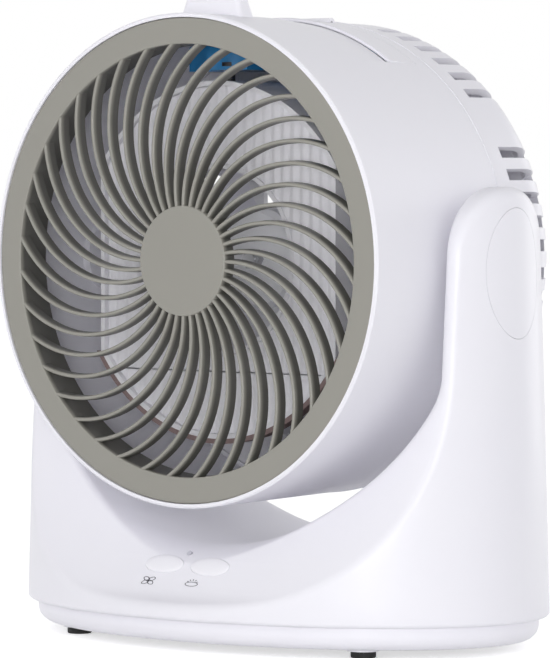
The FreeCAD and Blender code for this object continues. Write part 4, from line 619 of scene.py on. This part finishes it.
for number in range(SLATS):
    before = len(grille_bm.verts)
    grille_bm.from_mesh(slat_mesh)
    grille_bm.verts.ensure_lookup_table()
    slat_turn = Matrix.Rotation(math.tau * number / SLATS, 3, "Y")
    bmesh.ops.rotate(grille_bm, cent=(0, 0, drum_axis), matrix=slat_turn, verts=grille_bm.verts[before:])
bpy.data.meshes.remove(slat_mesh)
bmesh.ops.remove_doubles(grille_bm, verts=grille_bm.verts, dist=JOIN_DISTANCE)
bmesh.ops.recalc_face_normals(grille_bm, faces=grille_bm.faces)
shaded_round(grille_bm, GRILLE_CREASE)
as_piece(grille_bm, "spiral_grille", "head", grille_grey, "front_grille")

# Stage: a pale floor that the camera sees as white paper and that keeps the object's shadow, a studio that is
# brighter round the horizon than overhead, soft boxes in front, beside, above and behind, a fill beside the
# camera, and the photograph's camera.
FLOOR_REACH = 6.0
PAPER_GLOW = 0.55
HORIZON_GLOW = 1.02
ZENITH_GLOW = 0.3
floor_bm = bmesh.new()
bmesh.ops.create_grid(floor_bm, x_segments=1, y_segments=1, size=FLOOR_REACH)
floor_mesh = bpy.data.meshes.new("floor")
floor_bm.to_mesh(floor_mesh)
floor_bm.free()
floor = bpy.data.objects.new("floor", floor_mesh)
bpy.context.collection.objects.link(floor)
paper = bpy.data.materials.new("paper_white")
paper.use_nodes = True
paper_nodes = paper.node_tree.nodes
paper_links = paper.node_tree.links
principled(paper).inputs["Base Color"].default_value = (0.92, 0.92, 0.92, 1)
principled(paper).inputs["Roughness"].default_value = 0.9


def seen_mask(nodes, links):
    """One for camera, glossy and transmission rays: what looks at the background, not what it lights."""
    rays = nodes.new("ShaderNodeLightPath")
    total = rays.outputs["Is Camera Ray"]
    for name in ("Is Glossy Ray", "Is Transmission Ray"):
        joined = nodes.new("ShaderNodeMath")
        joined.operation = "MAXIMUM"
        links.new(total, joined.inputs[0])
        links.new(rays.outputs[name], joined.inputs[1])
        total = joined.outputs[0]
    return total


glow = paper_nodes.new("ShaderNodeEmission")
paper_add = paper_nodes.new("ShaderNodeAddShader")
glow_share = paper_nodes.new("ShaderNodeMath")
glow_share.operation = "MULTIPLY"
glow_share.inputs[1].default_value = PAPER_GLOW
paper_links.new(seen_mask(paper_nodes, paper_links), glow_share.inputs[0])
paper_links.new(glow_share.outputs[0], glow.inputs["Strength"])
paper_links.new(principled(paper).outputs[0], paper_add.inputs[0])
paper_links.new(glow.outputs[0], paper_add.inputs[1])
paper_links.new(paper_add.outputs[0], paper_nodes["Material Output"].inputs["Surface"])
floor_mesh.materials.append(paper)

world = bpy.data.worlds.new("studio")
bpy.context.scene.world = world
world.use_nodes = True
world_nodes = world.node_tree.nodes
world_links = world.node_tree.links
ambient = world_nodes["Background"]
ambient.inputs["Color"].default_value = (0.98, 0.98, 1.0, 1)
sky_way = world_nodes.new("ShaderNodeTexCoord")
sky_height = world_nodes.new("ShaderNodeSeparateXYZ")
sky_fade = world_nodes.new("ShaderNodeMapRange")
sky_fade.inputs["To Min"].default_value = HORIZON_GLOW
sky_fade.inputs["To Max"].default_value = ZENITH_GLOW
world_links.new(sky_way.outputs["Generated"], sky_height.inputs[0])
world_links.new(sky_height.outputs["Z"], sky_fade.inputs["Value"])
world_links.new(sky_fade.outputs["Result"], ambient.inputs["Strength"])
backdrop = world_nodes.new("ShaderNodeBackground")
backdrop.inputs["Strength"].default_value = 1.0
backdrop.inputs["Color"].default_value = (1, 1, 1, 1)
blend = world_nodes.new("ShaderNodeMixShader")
world_links.new(seen_mask(world_nodes, world_links), blend.inputs[0])
world_links.new(ambient.outputs[0], blend.inputs[1])
world_links.new(backdrop.outputs[0], blend.inputs[2])
world_links.new(blend.outputs[0], world_nodes["World Output"].inputs["Surface"])


def soft_box(name, place, aim, size, power):
    """A square soft box that looks at a point."""
    light = bpy.data.lights.new(name, "AREA")
    light.size = size
    light.energy = power
    lamp = bpy.data.objects.new(name, light)
    lamp.location = place
    lamp.rotation_euler = (Vector(aim) - Vector(place)).to_track_quat("-Z", "Y").to_euler()
    bpy.context.collection.objects.link(lamp)


soft_box("key_box", (-0.45, -1.9, 0.95), (0, 0, 0.16), 0.9, 3.2)
soft_box("side_box", (1.9, -0.25, 0.1), (0, 0, 0.16), 1.0, 0.7)
soft_box("top_box", (0.1, 0.2, 1.8), (0, 0, 0.16), 1.2, 0.3)
soft_box("fill_box", (1.0, -1.6, 0.16), (0, 0, 0.17), 0.7, 13)
soft_box("back_box", (0.4, 1.9, 0.5), (0, 0, 0.18), 1.0, 5)

AIM = Vector((0.0, -0.0065, 0.1449))
AZIMUTH = math.radians(38.81)
ELEVATION = math.radians(2.196)
DISTANCE = 2.1359
FOCAL_PIXELS = 4561.8
PHOTO_HEIGHT = 658.0
SENSOR_HEIGHT = 36.0
view = Vector((math.sin(AZIMUTH) * math.cos(ELEVATION), -math.cos(AZIMUTH) * math.cos(ELEVATION),
               math.sin(ELEVATION)))
lens = bpy.data.cameras.new("photo_camera")
lens.sensor_fit = "VERTICAL"
lens.sensor_height = SENSOR_HEIGHT
lens.lens = FOCAL_PIXELS * SENSOR_HEIGHT / PHOTO_HEIGHT
camera = bpy.data.objects.new("photo_camera", lens)
camera.location = AIM + view * DISTANCE
camera.rotation_euler = (-view).to_track_quat("-Z", "Y").to_euler()
bpy.context.collection.objects.link(camera)
bpy.context.scene.camera = camera
bpy.context.scene.view_settings.view_transform = "Standard"
